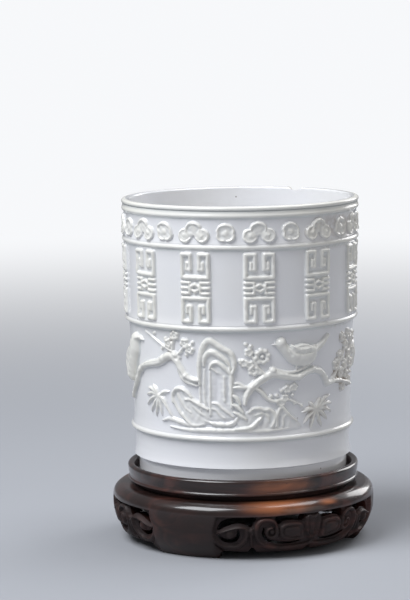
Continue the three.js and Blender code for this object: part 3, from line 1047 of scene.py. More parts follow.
@dataclass
class PotBody:
    """The thrown and turned porcelain body."""

    form: PotForm = field(default_factory=PotForm)
    sides: int = 288
    chip_bearing: float = 149.3
    chip_width: float = 10.0
    chip_across: float = 8.0
    chip_depth: float = 2.5
    chip_roughness: float = 0.07
    chip_seed: int = 7
    bare_below: float = 0.25
    seam_width: float = 0.7
    rib_width: float = 1.3
    grimy: Point = (34.0, 84.0)
    grime_fade: Point = (18.0, 12.0)

    def build(self, glaze: bpy.types.Material, bare: bpy.types.Material) -> None:
        """Makes the body, breaks the chip out of its rim and dresses it.

        Args:
            glaze: The glaze's material.
            bare: The bare porcelain's material.
        """
        form = self.form
        rings = [(radius, form.foot_z + height) for radius, height in form.rings()]
        body = turned("porcelain_body", rings, self.sides)
        body.data.materials.append(glaze)
        body.data.materials.append(bare)
        for face in body.data.polygons:
            low = face.center.z < (form.foot_z + self.bare_below) * MM
            under = low and face.normal.z < -0.5
            face.material_index = 1 if under else 0
        carve_away(body, [self._chip(bare)])
        self._mark(body)
        dress(body, "pot", POT_SLOT, ["pot_body"], glaze, bare)

    def _chip(self, bare: bpy.types.Material) -> bpy.types.Object:
        """Shapes a rough lump of the size of the chip, set into the rim.

        Args:
            bare: The bare porcelain's material.

        Returns:
            The lump.
        """
        form = self.form
        height = form.foot_z + form.height + 0.35 * self.chip_depth
        place = around(self.chip_bearing, form.lip - form.wall / 2 + 0.6, height)
        bpy.ops.object.select_all(action="DESELECT")
        bpy.ops.mesh.primitive_ico_sphere_add(subdivisions=4, radius=1.0)
        lump = bpy.context.active_object
        waves = np.random.default_rng(self.chip_seed).normal(size=(6, 3)) * 3.0
        for vertex in lump.data.vertices:
            rough = sum(math.sin(vertex.co.dot(Vector(wave))) for wave in waves)
            vertex.co *= 1 + self.chip_roughness * rough / 2
        size = Vector((self.chip_width / 2, self.chip_across / 2, 1.35 * self.chip_depth)) * MM
        turn = Matrix.Rotation(math.radians(self.chip_bearing), 4, "Z")
        lump.data.transform(Matrix.Translation(place) @ turn @ Matrix.Diagonal((*size, 1)))
        lump.data.materials.append(bare)
        return lump

    def _mark(self, body: bpy.types.Object) -> None:
        """Marks where glaze pools and shade is painted, where clay stands proud and takes a painted
        highlight tint, and where grime gathers.

        Args:
            body: The pot's body.
        """
        form = self.form
        bearing, radius, z = polar(body)
        height = z - form.foot_z
        seams = [band.bottom - form.rib - 0.2 for band in (form.picture, form.tablet, form.cloud)]
        ribs = [seam + form.rib / 2 for seam in seams]
        lip_seams = [form.cloud.top + 0.1, form.height - form.lip_height]
        outside = radius > form.outer_radius(height) - 1.6
        # Painted shade under the ribs and lip beads and in the inner corner, with glaze pooling.
        pool_and_shade = self._lines(height, [*seams, *lip_seams], self.seam_width) * outside * 0.8
        corner = np.exp(-((height - form.floor) / form.inner_corner) ** 2)
        corner = corner * (~outside) * (height > form.floor - 1)
        store(body, "pooling_and_shade", pool_and_shade + 0.6 * corner)
        # Ribs and the lip: a cream tint as a painted highlight, and a duller gloss.
        raised = self._lines(height, ribs, self.rib_width) + (height > form.cloud.top + 0.4)
        store(body, "raised", raised * outside)
        (start, end), (rise, fall) = self.grimy, self.grime_fade
        beside = smoothstep((bearing - start) / rise) * smoothstep((end - bearing) / fall)
        by_clouds = np.exp(-((height - form.cloud.middle_z) / 6.5) ** 4)
        by_seams = self._lines(height, seams, self.rib_width)
        store(body, "grime", outside * beside * (0.50 * by_clouds + 0.30 * by_seams))

    @staticmethod
    def _lines(height: np.ndarray, places: Sequence[float], spread: float) -> np.ndarray:
        """A soft level line round the pot at each of some heights."""
        return sum(np.exp(-((height - place) / spread) ** 2) for place in places)


@dataclass
class Clay:
    """Clay worked on one band, in degrees from the front and percent of the band's height."""

    band: Band
    facing: float
    span: tuple[float, float]
    cell: float
    relief: Relief = field(init=False)
    stain: np.ndarray = field(init=False)

    def __post_init__(self) -> None:
        """Starts with a bare patch over the whole span."""
        self.relief = Relief.over(self.at(self.span[0], 0), self.at(self.span[1], 100), self.cell)
        self.stain = np.zeros(self.relief.x.shape)

    def at(self, bearing: float, percent: float) -> Point:
        """A point on the unrolled wall."""
        arc = math.radians(bearing - self.facing) * self.band.middle
        return arc, self.band.bottom + percent / 100 * self.band.height

    def path(self, points: Path) -> list[Point]:
        """A path on the unrolled wall."""
        return [self.at(*point) for point in points]

    def strip(
        self, points: Path, widths: Sequence[float], height: float,
        section: Section = Section.ROUND, base: float = 0.0,
    ) -> None:
        """Lays a strip of clay."""
        self.relief.strip(self.path(points), widths, height, section, base)

    def slab(self, outline: Path, height: float, edge: float, base: float = 0.0) -> None:
        """Lays a cushion of clay."""
        self.relief.slab(self.path(outline), height, edge, base)

    def domes(self, places: Path, radius: float, height: float, base: float = 0.0) -> None:
        """Presses on round bosses."""
        for place in places:
            self.relief.dome(self.at(*place), radius, height, base)

    def groove(self, points: Path, width: float = 0.6, depth: float = 0.35) -> None:
        """Cuts a tooled line."""
        self.relief.groove(self.path(points), width, depth)

    def blossom(self, place: Point, size: float = 2.4, turn: float = 0.0, petals: int = 5) -> None:
        """Models an open flower of cupped petals round a stud.

        Args:
            place: Its middle.
            size: Its radius in millimetres.
            turn: How far it is turned, in degrees.
            petals: How many petals it has.
        """
        x, z = self.at(*place)
        reach = 0.62 * size
        petal_radius = min(0.54 * size, 1.35 * reach * math.sin(math.pi / petals))
        for petal in range(petals):
            angle = math.radians(turn) + 2 * math.pi / petals * petal
            middle, inner = (
                (x + share * reach * math.cos(angle), z + share * reach * math.sin(angle))
                for share in (1, 0.75)
            )
            self.relief.dome(middle, petal_radius, 1.6)
            self.relief.groove([(x, z), inner], 0.55, 0.45)
        self.relief.dome((x, z), 0.22 * size, 1.75)

    def leaf(self, root: Point, tip: Point, width: float) -> None:
        """Models one pointed leaf with a crease along its middle.

        Args:
            root: Where it starts.
            tip: Where it ends.
            width: Its width in millimetres.
        """
        start, end = self.at(*root), self.at(*tip)
        bow = abs(0.12 * (end[0] - start[0]))
        middle = (start[0] * 0.5 + end[0] * 0.5, start[1] * 0.5 + end[1] * 0.5 + bow)
        widths = [0.9, width * 0.85, width, width * 0.7, 0.3]
        self.relief.strip([start, middle, end], widths, 1.75, Section.RIDGE)
        self.relief.groove([start, middle, end], 0.4, 0.3)

    def spray(self, root: Point, tips: Path, width: float = 2.9) -> None:
        """Models leaves that spread from one boss.

        Args:
            root: Where they meet.
            tips: Where each leaf ends.
            width: Width of a leaf.
        """
        for tip in tips:
            self.leaf(root, tip, width)
        self.domes([root], 1.4, 1.5)

    def soil(self, low: float, high: float, amount: float) -> None:
        """Marks a stretch whose hollows hold old grime.

        Args:
            low: The bearing where it starts.
            high: The bearing where it ends.
            amount: How much it holds.
        """
        bearing = np.degrees(self.relief.x / self.band.middle) + self.facing
        rise = smoothstep((bearing - low) / 5) * smoothstep((high - bearing) / 5)
        self.stain = np.maximum(self.stain, amount * rise)


@dataclass
class AppliedRelief:
    """Moulded clay pieces laid on one band of the wall."""

    band: Band
    foot_z: float
    glaze: bpy.types.Material
    cell: float = 0.25
    softness: float = 0.26
    buried: float = 0.12
    thickness: float = 0.5
    unevenness: float = 0.1
    finger: float = 2.6
    pooling_and_shade_reach: float = 0.9
    thinnest: float = 0.04
    full_height: float = 1.4

    def lay(
        self, name: str, node: str, relief: Relief, bearing: float, seed: int,
        stain: np.ndarray | float = 0.0,
    ) -> None:
        """Roughens and softens a modelled piece, wraps it onto the wall and dresses it.

        Args:
            name: The piece's name.
            node: The plain solid that it stands for.
            relief: Its heights.
            bearing: Where its middle sits.
            seed: Chooses its unevenness.
            stain: How much grime its hollows hold.
        """
        relief.roughen(self.unevenness, self.finger, seed)
        relief.soften(self.softness, self.cell)
        wide = Relief(relief.x, relief.z)
        wide.height = relief.height.copy()
        wide.soften(self.pooling_and_shade_reach, self.cell)
        hollow = np.clip((wide.height - relief.height) * 1.1, 0, 1)
        cells = self._cells(relief.height > self.thinnest)
        points, faces, used = self._shell(relief, cells, bearing)
        obj = mesh_object(name, points, faces)
        marks = {
            # Painted shade in the hollows round the clay, with glaze pooling.
            "pooling_and_shade": hollow,
            "grime": np.clip(1.6 * hollow + 0.25, 0, 1) * stain,
            # Cream tint on high clay: a painted highlight, and a duller gloss.
            "raised": smoothstep(relief.height / self.full_height),
        }
        for mark, values in marks.items():
            store(obj, mark, np.tile(values[used], 2))
        dress(obj, "pot", POT_SLOT, [node], self.glaze)

    @staticmethod
    def _cells(solid: np.ndarray) -> np.ndarray:
        """Finds the grid cells that hold clay, and fills corners that only touch.

        Args:
            solid: True for each grid point with clay.

        Returns:
            True for each cell with clay.
        """
        cells = solid[:-1, :-1] | solid[1:, :-1] | solid[:-1, 1:] | solid[1:, 1:]
        for _ in range(3):
            a, b, c, d = cells[:-1, :-1], cells[:-1, 1:], cells[1:, :-1], cells[1:, 1:]
            touching = (a & d & ~b & ~c) | (b & c & ~a & ~d)
            cells[:-1, :-1] |= touching
            cells[1:, 1:] |= touching
            cells[:-1, 1:] |= touching
        return cells

    def _shell(
        self, relief: Relief, cells: np.ndarray, bearing: float,
    ) -> tuple[np.ndarray, np.ndarray, np.ndarray]:
        """Makes a closed shell: the modelled face, a back inside the wall and an edge.

        Args:
            relief: The piece's heights.
            cells: The cells that hold clay.
            bearing: Where its middle sits.

        Returns:
            The shell's points and faces, and the grid points that it uses.
        """
        rows, columns = relief.x.shape
        corner = np.arange(rows * columns).reshape(rows, columns)
        a, b = corner[:-1, :-1], corner[:-1, 1:]
        d, c = corner[1:, :-1], corner[1:, 1:]
        front = np.stack([a[cells], b[cells], c[cells], d[cells]], axis=1)
        used = np.unique(front)
        number = np.full(rows * columns, -1)
        number[used] = np.arange(len(used))
        front = number[front]
        back = front[:, ::-1] + len(used)
        wide = np.pad(cells, 1)
        sides = []
        for gap, first, second in (
            (~wide[:-2, 1:-1], a, b), (~wide[1:-1, 2:], b, c),
            (~wide[2:, 1:-1], c, d), (~wide[1:-1, :-2], d, a),
        ):
            open_side = cells & gap
            start, end = number[first[open_side]], number[second[open_side]]
            sides.append(np.stack([start + len(used), end + len(used), end, start], axis=1))
        x, z = relief.x.ravel()[used], relief.z.ravel()[used]
        proud = relief.height.ravel()[used] - self.buried
        turn = math.radians(bearing) + x / self.band.middle
        wall = self.band.radius(z)
        radii = np.concatenate([wall + proud, wall - self.thickness])
        points = round_axis(radii, np.tile(turn, 2), np.tile(z + self.foot_z, 2))
        mask = np.zeros(rows * columns, bool)
        mask[used] = True
        return points, np.vstack([front, back, *sides]), mask.reshape(rows, columns)


@dataclass
class Repeats:
    """Copies round the pot: a little closer at the back."""

    drift: float
    count: int = 12
    first: float = 9.0

    def bearing(self, index: float) -> float:
        """Where a copy sits, in degrees."""
        turn = 360 / self.count * index
        return self.first + turn + self.drift * math.sin(math.radians(turn))


@dataclass
class CloudHeads(AppliedRelief):
    """Alternating large and small cloud heads under the lip."""

    cell: float = 0.22
    softness: float = 0.22
    drift: float = 3.4
    margin: float = 0.75
    rim: float = 1.8
    proud: float = 1.5
    large_half: float = 7.8
    large_seed: int = 900
    small_half: float = 4.6
    small_seed: int = 950
    grimy: Point = (38.0, 80.0)
    grime: float = 0.6

    def build(self) -> None:
        """Lays all the cloud heads."""
        repeats = Repeats(self.drift)
        for index in range(repeats.count):
            number = f"{index + 1:02d}"
            for size, model, offset in (("large", self._large, 0), ("small", self._small, 0.5)):
                bearing = repeats.bearing(index + offset)
                stain = self.grime if self.grimy[0] < bearing < self.grimy[1] else 0.0
                node = f"cloud_head_{size}_{number}"
                self.lay(f"cloud_{size}_{number}", node, model(index), bearing, index, stain)

    def _patch(self, half: float) -> Relief:
        """A bare patch of the band for one head."""
        low, high = (-half - 1.5, self.band.bottom), (half + 1.5, self.band.top)
        return Relief.over(low, high, self.cell)

    def _rim(self, relief: Relief, points: Path, shares: Sequence[float], proud: float) -> None:
        """Lays a raised edge, its widths given as shares of the rim's."""
        relief.strip(points, [self.rim * share for share in shares], proud)

    def _large(self, index: int) -> Relief:
        """Models a large head: an arch over a hollow, between two rimmed and coiled lobes.

        Args:
            index: Number of the head, which chooses how it leans.

        Returns:
            Its heights.
        """
        low = self.band.bottom + self.margin
        draw = np.random.default_rng(self.large_seed + index)
        relief = self._patch(self.large_half)
        lean, side = draw.uniform(-0.35, 0.35), 4.3
        relief.dome((lean, low + 6.6), 4.0, 1.05)
        relief.dome((0, low + 4.4), 3.3, 1.05)
        for way in (-1, 1):
            x, z = way * side, low + 3.4 + draw.uniform(-0.15, 0.15)
            relief.dome((x, z), 3.7, 1.45)
            relief.dome((x - way * 0.15, z - 0.1), 2.3, 1.7)
            rise = np.linspace(1.5, -2.7, 13)
            edge = [(x + way * 2.95 * math.cos(t), z + 2.85 * math.sin(t)) for t in rise]
            self._rim(relief, edge, [0.7, 1, 1, 0.85, 0.45], self.proud)
            coil = [
                (x + way * (1.55 - 0.2 * t) * math.cos(1.2 - t),
                 z + (1.55 - 0.2 * t) * math.sin(1.2 - t))
                for t in np.linspace(0, 4.4, 10)
            ]
            relief.groove(coil, 0.55, 0.22)
        arch = [
            (lean + 3.6 * math.cos(t), low + 6.5 + 2.75 * math.sin(t))
            for t in np.linspace(-0.3, math.pi + 0.3, 12)
        ]
        self._rim(relief, arch, [0.7, 1.05, 1.25, 1.05, 0.7], self.proud + 0.1)
        relief.groove([(0, low - 0.4), (0, low + 2.6)], 1.1, 1.6)
        return relief

    def _small(self, index: int) -> Relief:
        """Models a small head: one thick lobed rim round a smooth boss.

        Args:
            index: Number of the head, which chooses how far it leans.

        Returns:
            Its heights.
        """
        low = self.band.bottom + self.margin
        lean = np.random.default_rng(self.small_seed + index).uniform(-1.2, 1.2)

        def mirrored(side: Sequence[Spot], *top: Spot) -> Path:
            """Points up the left side, over the top and down the right; each leans by a share."""
            right = [(-x, z, share) for x, z, share in reversed(side)]
            return [(x + share * lean, low + z) for x, z, share in (*side, *top, *right)]

        outline = [
            (-1.8, 0.4, 0), (-3.6, 1.4, 0), (-4.4, 3.6, 0), (-4.3, 6.0, 0.5), (-3.3, 8.2, 1),
        ]
        rim = [
            (-0.8, 1.0, 0), (-2.6, 1.3, 0), (-3.8, 2.8, 0), (-3.6, 4.5, 0.2), (-3.8, 6.0, 0.7),
            (-2.6, 7.8, 1),
        ]
        relief = self._patch(self.small_half)
        relief.slab(mirrored(outline, (0, 9.3, 1)), 0.85, 1.2)
        shares = [0.6, 0.95, 0.8, 1.15, 0.8, 0.95, 0.6]
        self._rim(relief, mirrored(rim, (0, 8.6, 1)), shares, self.proud)
        relief.dome((0.5 * lean, low + 4.6), 2.1, 1.4)
        return relief


@dataclass
class FretTablets(AppliedRelief):
    """Tall tablets of a geometric fret: paired square coils above and below barred lozenges."""

    softness: float = 0.28
    unevenness: float = 0.12
    finger: float = 4.0
    drift: float = 2.6
    first_seed: int = 200
    margin: float = 0.8
    width: float = 15.8
    bar: float = 2.5
    proud: float = 1.6

    def build(self) -> None:
        """Lays all the tablets."""
        repeats = Repeats(self.drift)
        for index in range(repeats.count):
            number = f"{index + 1:02d}"
            bearing, seed = repeats.bearing(index), self.first_seed + index
            self.lay(f"tablet_{number}", f"fret_tablet_{number}", self._tablet(), bearing, seed)

    def _tablet(self) -> Relief:
        """Models one tablet.

        Returns:
            Its heights.
        """
        half = (self.width - self.bar) / 2
        bottom = self.band.bottom + self.margin + self.bar / 2
        tall = self.band.height - 2 * self.margin - self.bar
        low, high = (-half - 2.6, bottom - 2.0), (half + 2.6, bottom + tall + 2.0)
        relief = Relief.over(low, high, self.cell)

        def place(across: float, up: float) -> Point:
            """A point from shares of the half width and the height."""
            return across * half, bottom + up * tall

        thin = 0.8 * self.bar
        bars = []
        for way in (-1, 1):
            for edge, up in ((0.655, 1), (0.345, -1)):
                coil = [(0, 0), (way, 0), (way, 0.345), (way * 0.34, 0.345), (way * 0.34, 0.12)]
                inner = [(way * 0.34, 0.12), (way * 0.62, 0.12), (way * 0.62, 0.22)]
                for path, width in ((coil, self.bar), (inner, thin)):
                    bars.append(([(x, edge + up * z) for x, z in path], width))
                bars.append(([(way * 1.04, edge - up * 0.075), (way * 0.42, edge - up * 0.075)],
                             thin))
            bars.append(([(way * 0.42, 0.58), (way * 0.42, 0.42)], 0.8 * thin))
            bars.append(([(way * 1.04, 0.5), (way * 0.5, 0.5), (0, 0.555)], thin))
            bars.append(([(way * 0.5, 0.5), (0, 0.445)], thin))
        for path, width in bars:
            corners = [place(*spot) for spot in path]
            for start, end in zip(corners, corners[1:]):
                relief.strip([start, end], [width, width], self.proud, Section.FLAT)
        relief.slab([place(-1, 0), place(-1, 1), place(1, 1), place(1, 0)], 0.35, 0.6)
        return relief


@dataclass
class GardenScene(AppliedRelief):
    """Birds on blossoming branches among rocks and leaves, once on each half of the pot."""

    finger: float = 3.5
    first_seed: int = 300

    def build(self) -> None:
        """Lays the scene on the front and again on the back."""
        motifs: list[tuple[str, float, Point, Callable[[Clay], None]]] = [
            ("rocks_low", -8, (-47, 33), self._rocks_low),
            ("rock_tall", -13, (-26, 0), self._rock_tall),
            ("branch_left", -47, (-79, -19), self._branch_left),
            ("branch_right", 33, (-8, 80), self._branch_right),
            ("leaves_left", -48, (-62, -34), self._leaves_left),
            ("leaves_right", 42, (28, 58), self._leaves_right),
            ("bird_clinging", -69, (-83, -55), self._bird_clinging),
            ("bird_perched", 31, (13, 52), self._bird_perched),
        ]
        for number, (name, facing, span, model) in enumerate(motifs):
            for side, half_turn in (("front", 0), ("back", 180)):
                clay = Clay(self.band, facing, span, self.cell)
                model(clay)
                self.lay(
                    f"{name}_clay_{side}", f"{name}_{side}", clay.relief, facing + half_turn,
                    self.first_seed + number, clay.stain,
                )

    def _rocks_low(self, clay: Clay) -> None:
        """Models the ground line and the low rocks on both sides of the tall one.

        Args:
            clay: The clay to work.
        """
        ground = [
            ([(-45.5, 11), (-39.9, 13.8), (-34.9, 12.3), (-29.6, 10.3), (-24.6, 9.5), (-19.7, 11)],
             2.6),
            ([(-19.2, 14.9), (-14.6, 11.9), (-9.1, 11.2), (-5.1, 12.3), (-2.1, 18), (-1.1, 24.2)],
             2.4),
            ([(-40, 6.5), (-29.6, 5), (-18.7, 5.4), (-8.6, 5.5), (-1.2, 6), (10, 5), (24, 6)], 2.6),
        ]
        for points, width in ground:
            clay.strip(points, [0.8, width, width, width, 0.8], 1.2)
        clay.slab([(-37.7, 40.2), (-33.9, 46.2), (-29.8, 44.8), (-26.2, 39.1), (-22.7, 34.7),
                   (-17, 28.5), (-17.1, 12.2), (-25.7, 8.4), (-31.3, 14.4), (-35.4, 22.4),
                   (-37.5, 31.6)], 0.8, 1.6)
        clay.slab([(2.3, 24.1), (5.3, 28.3), (9.7, 28.5), (13.7, 27.6), (17.3, 23.9), (20.4, 28.7),
                   (24.6, 20.9), (29.1, 13), (31.3, 5.3), (18.7, 3.6), (6.6, 4.8), (-1.2, 7),
                   (-3.1, 18.5)], 0.7, 1.6)
        ridges = [
            ([(-37.3, 30.7), (-37.2, 38.4), (-35.8, 42.5), (-33.4, 44.3), (-30.7, 43.3),
              (-28.2, 40.8), (-26.3, 36.7)], 2.2, 1.3),
            ([(-29.6, 34.3), (-27.1, 34.2), (-23.8, 31.7), (-20.7, 28.7), (-17.3, 25.6)], 2.2, 1.3),
            ([(-37.1, 35.5), (-35.6, 28.1), (-33.3, 21.8), (-30.1, 15.5), (-26.8, 10.2)], 1.9, 0.9),
            ([(-34, 38.5), (-32.3, 32.5), (-30, 26.1), (-26.7, 21.8)], 1.7, 0.7),
            ([(-25.5, 27.7), (-22.8, 23.2), (-19.7, 19.7)], 1.8, 0.6),
            ([(-3.2, 7), (1.7, 7.4), (5.2, 9.6), (7.6, 14.3), (9.6, 17.5)], 2.2, 1.2),
            ([(3.3, 23.1), (5.5, 26.5), (8.7, 26.8), (11.2, 25), (13.7, 25.2), (16, 21.6),
              (16.4, 15.4), (14.9, 8.4)], 1.9, 1.1),
            ([(6.7, 20.1), (9.7, 21.8), (12.7, 19.1), (13.6, 13.8)], 1.6, 0.7),
            ([(17.4, 8.5), (17.5, 18.1), (18.8, 24.6), (20.4, 26.8), (22.5, 22.7), (25.2, 17.5),
              (28.5, 12.6)], 1.9, 1.1),
            ([(20.8, 8.1), (20.9, 15.8), (22.5, 19.4)], 1.6, 0.7),
            ([(-4.5, 39.5), (-2.5, 36.1), (-1.1, 30.9)], 2.2, 1.5),
            ([(-5, 30.9), (-2.1, 28), (0.3, 23.2)], 2.2, 1.4),
            ([(-4.1, 23.3), (-1.1, 20.4), (1.8, 16.5)], 2.0, 1.3),
        ]
        for points, width, height in ridges:
            clay.strip(points, [0.7 * width, width, width, 0.6 * width], height, base=0.55)
        cracks = [
            [(-32.2, 42.1), (-29.9, 36.7), (-26.6, 32.3)],
            [(11.2, 22.1), (10.6, 16), (8.6, 10.4)],
            [(-35.5, 38), (-34, 30), (-31.5, 22)],
            [(19.2, 8), (19.3, 18)],
        ]
        for points in cracks:
            clay.groove(points, 0.9, 0.45)

    def _rock_tall(self, clay: Clay) -> None:
        """Models the tall rock: leaning arches, one inside the next, over upright folds.

        Args:
            clay: The clay to work.
        """
        clay.slab([(-22.3, 25.2), (-22.4, 49.1), (-22.2, 68.2), (-21, 80.7), (-19.1, 88.9),
                   (-16.5, 94.3), (-13.5, 91.6), (-9.6, 86.5), (-5.6, 82.8), (-3.5, 77.6),
                   (-2.6, 68.1), (-4.1, 58.5), (-4.9, 43.3), (-4.5, 26.1), (-3.1, 17.5),
                   (-13.6, 14.4), (-19.7, 15.8)], 0.55, 1.5)
        folds = [
            ([(-21.6, 49.2), (-21.6, 67.3), (-20.6, 78.8), (-18.9, 87), (-16.3, 91.7),
              (-13.5, 89.5), (-9.6, 84.6), (-5.9, 80.9), (-4.3, 75.7), (-3.6, 67.1), (-4.8, 60)],
              [1.6, 2.2, 2.6, 3.0, 3.2, 3.2, 3.0, 2.8, 2.6, 2.4, 1.2], 1.35),
            ([(-19.1, 67.5), (-18.5, 75.2), (-16.6, 79.6), (-14.1, 80.7), (-11.1, 77.6),
              (-8.2, 73.4), (-6.2, 68.1), (-5.8, 63.3)], [1.2, 2.2, 2.9, 3.0, 2.8, 2.4, 1.6, 0.8],
              1.25),
            ([(-16, 64.9), (-14.9, 69.4), (-12.4, 70.9), (-10.2, 68.9), (-7.7, 64.2), (-5.3, 58.5),
              (-5.3, 43.3), (-5, 28)], [1.2, 2.0, 2.4, 2.4, 2.2, 2.0, 1.6, 1.2], 1.2),
            ([(-14.7, 64.9), (-12.2, 60.8)], [1.8, 0.8], 0.9),
            ([(-15.9, 62), (-16, 44.8), (-16.2, 30.5), (-16.1, 20)], [1.0, 1.5, 1.6, 1.8], 0.85),
            ([(-18.8, 63.7), (-19.2, 49.4), (-19, 35), (-18.1, 23.6)], [1.0, 1.8, 1.8, 1.4], 0.7),
            ([(-21.3, 47), (-21.4, 36), (-21, 24)], [1.6, 1.8, 1.6], 0.7),
            ([(-8.9, 57.5), (-8.8, 45.2), (-8.8, 33.7)], [1.2, 2.2, 1.6], 0.75),
            ([(-15, 32), (-12.4, 31.2), (-10, 27), (-7, 22.8), (-4.6, 18.5)], [1.4, 2.2, 2.2, 1.2],
             0.95),
            ([(-15.5, 26.7), (-13, 24.9), (-11, 20.2), (-9, 17.4)], [1.4, 1.8, 1.2], 0.75),
        ]
        for points, widths, height in folds:
            clay.strip(points, widths, height, Section.RIDGE if height < 1 else Section.ROUND,
                       base=0.5)
        for points, width, depth in (
            ([(-12.5, 56.5), (-12.4, 45), (-12.7, 35.5)], 3.0, 0.45),
            ([(-17.3, 68.6), (-17.3, 54.3), (-17.5, 39)], 1.0, 0.4),
            ([(-7.2, 56), (-7.1, 44), (-7.2, 33)], 0.9, 0.35),
        ):
            clay.groove(points, width, depth)

    def _branch_left(self, clay: Clay) -> None:
        """Models the left branch with its twigs, blossoms and buds.

        Args:
            clay: The clay to work.
        """
        boughs = [
            ([(-75.2, 27), (-72.8, 33.6), (-68.3, 42.8), (-65.3, 51.4), (-62.1, 58.1),
              (-57.2, 62.9), (-51.8, 65.4), (-47, 67.1), (-43.4, 70.5), (-39.9, 74.2), (-36.7, 74),
              (-34.3, 70.6), (-32.3, 65.1), (-30.3, 59.6), (-28, 55.6), (-25.3, 53.6),
              (-22.1, 53.1)], [2.2, 2.8, 3.2, 3.2, 3.3, 4.0, 4.3, 4.1, 3.7, 3.0, 2.4], 2.2),
            ([(-32.9, 61.2), (-31.2, 54.7), (-28.6, 51.2), (-25.3, 49.2), (-22.6, 47.6)],
             [2.6, 2.6, 2.2, 1.0], 1.6),
            ([(-56.7, 95.8), (-50.6, 91), (-45.3, 86), (-39.9, 81.2), (-35.4, 78.3), (-32.8, 73.7)],
             [0.7, 0.8, 0.9, 1.3, 2.2], 1.4),
            ([(-33, 77.5), (-31.2, 81.5), (-29.5, 84.6)], [1.9, 1.3, 0.9], 1.4),
            ([(-36.7, 81.7), (-36, 88.5), (-35.3, 93.4)], [1.7, 1.2, 0.9], 1.4),
        ]
        for points, widths, height in boughs:
            clay.strip(points, widths, height)
        clay.domes([(-43.4, 71.5), (-35.3, 75.4), (-62.1, 58.1), (-29.2, 56.9)], 2.0, 2.5)
        clay.groove([(-44, 72.8), (-40.6, 76.3), (-36.7, 76.4), (-33.7, 72.6)])
        clay.groove([(-57.2, 63.2), (-51, 66.1), (-46.3, 68)])
        for turn, spot in enumerate([(-39.1, 86.6), (-35, 95), (-29.4, 88), (-26.7, 82.5)]):
            clay.blossom(spot, 2.6, turn=25.0 * turn)
        clay.domes([(-49, 95), (-43.6, 81.5), (-41.1, 91.1), (-31.8, 79.5), (-28.4, 77),
                    (-25, 88.9), (-37.2, 92.2)], 1.15, 1.4)
        clay.soil(-43, -33, 0.6)

    def _branch_right(self, clay: Clay) -> None:
        """Models the right branch with its twigs, blossoms and buds.

        Args:
            clay: The clay to work.
        """
        boughs = [
            ([(1.4, 30.8), (1.9, 37.5), (3.4, 43.1), (5.4, 47.8), (7.9, 51.5), (10.4, 54.8),
              (12.9, 57.5), (15.4, 59.4), (18.5, 58.3), (22.2, 56.4), (26.5, 54.8), (29.9, 54.6),
              (32.2, 56.7), (35.2, 59), (38.4, 59.7), (41.7, 58.5), (44.4, 55.5), (46.6, 50.1),
              (48.1, 44.9), (51.3, 45.1), (56.6, 45.6), (64.2, 42.5), (72, 38)],
              [1.8, 3.6, 4.2, 4.4, 4.4, 4.2, 3.6, 3.4, 3.3, 3.4, 3.4, 3.0, 2.4, 2.3, 2.4, 2.0],
              2.25),
            ([(3.9, 46.5), (0.5, 47.1), (-4.4, 47.1)], [2.6, 2.3, 1.8], 1.7),
            ([(0.5, 48.5), (-1.9, 51.1), (-3.9, 50.9)], [1.8, 1.6, 1.2], 1.5),
            ([(16, 65.1), (19.5, 61.8), (24.3, 59.9), (28.8, 60.5), (32.8, 63.1), (36.5, 65.3)],
             [1.0, 1.4, 1.4, 1.4, 1.0], 1.5),
            ([(6.8, 46.3), (9.8, 41.8), (12.7, 35.8), (15.3, 33.2), (17.8, 32.4)],
             [2.3, 2.2, 2.2, 2.1, 1.6], 1.8),
            ([(17.3, 33.4), (21, 34.4), (24.2, 33.2), (27.5, 30.7), (31.4, 26.9)],
             [1.6, 1.5, 1.4, 0.9], 1.5),
            ([(10.9, 59.8), (8.4, 64.8), (6.7, 70.6), (5.3, 75.9)], [2.2, 1.7, 1.5, 1.2], 1.5),
            ([(9.9, 60.4), (6.9, 60.6), (4, 65.5), (2.1, 68)], [2.0, 1.6, 1.0], 1.4),
            ([(5.5, 75.4), (4.1, 81.2), (2.7, 86.9)], [1.3, 1.2, 0.8], 1.3),
            ([(50.4, 45.3), (55.7, 53.6), (59.8, 64.2), (64.5, 74.6)], [2.2, 1.8, 1.5, 1.0], 1.5),
            ([(58, 46), (62.5, 53), (67, 62), (72, 72), (75, 80)], [1.8, 1.6, 1.4, 1.2, 0.9], 1.4),
        ]
        for points, widths, height in boughs:
            clay.strip(points, widths, height)
        clay.domes([(15.4, 62.5), (29.9, 54.6), (38.4, 60.1), (4.9, 46.9), (48.1, 45.5)], 2.0, 2.6)
        for points in ([(3.4, 41.2), (5.9, 46.8), (8.8, 50.9), (12.4, 55.9)],
                       [(19, 57.6), (22.7, 55.7), (27, 54.1)],
                       [(32.8, 56), (36.5, 58.1), (40.3, 57.8)]):
            clay.groove(points)
        clay.blossom((10.2, 76.2), 4.6, 12.0, petals=8)
        clay.blossom((5.7, 63), 2.8, 40.0, petals=6)
        flowers = [
            (3.6, 80.2), (1.0, 70.2), (4.0, 68.4), (23.2, 43.7), (22, 35), (27, 45), (19.8, 30.6),
            (59.8, 68.1), (65.6, 58.7), (60.7, 52), (66.2, 77.5), (70.4, 67.6), (56.2, 60.5),
            (67.9, 47.7), (74.6, 81.1), (73.5, 58),
        ]
        for turn, spot in enumerate(flowers):
            clay.blossom(spot, 2.15 if spot[0] < 50 else 2.9, turn=31.0 * turn)
        edge_flowers = [(62, 86), (69, 88), (78, 70), (77, 58), (71, 42), (63, 38), (79, 84)]
        for turn, spot in enumerate(edge_flowers):
            clay.blossom(spot, 2.6, turn=47.0 * turn)
        clay.domes([(2.0, 88.2), (4.6, 86.4), (-0.9, 72.5), (26.1, 37.5), (17.6, 38.2), (14.6, 38),
                    (20.1, 42.4), (27.5, 29.5), (31.4, 26.4), (60.5, 83.5), (73.7, 49.5),
                    (55.7, 47.8), (63, 66), (76, 72)], 1.1, 1.45)
        clay.soil(1, 17, 0.18)
        clay.soil(50, 82, 1.0)

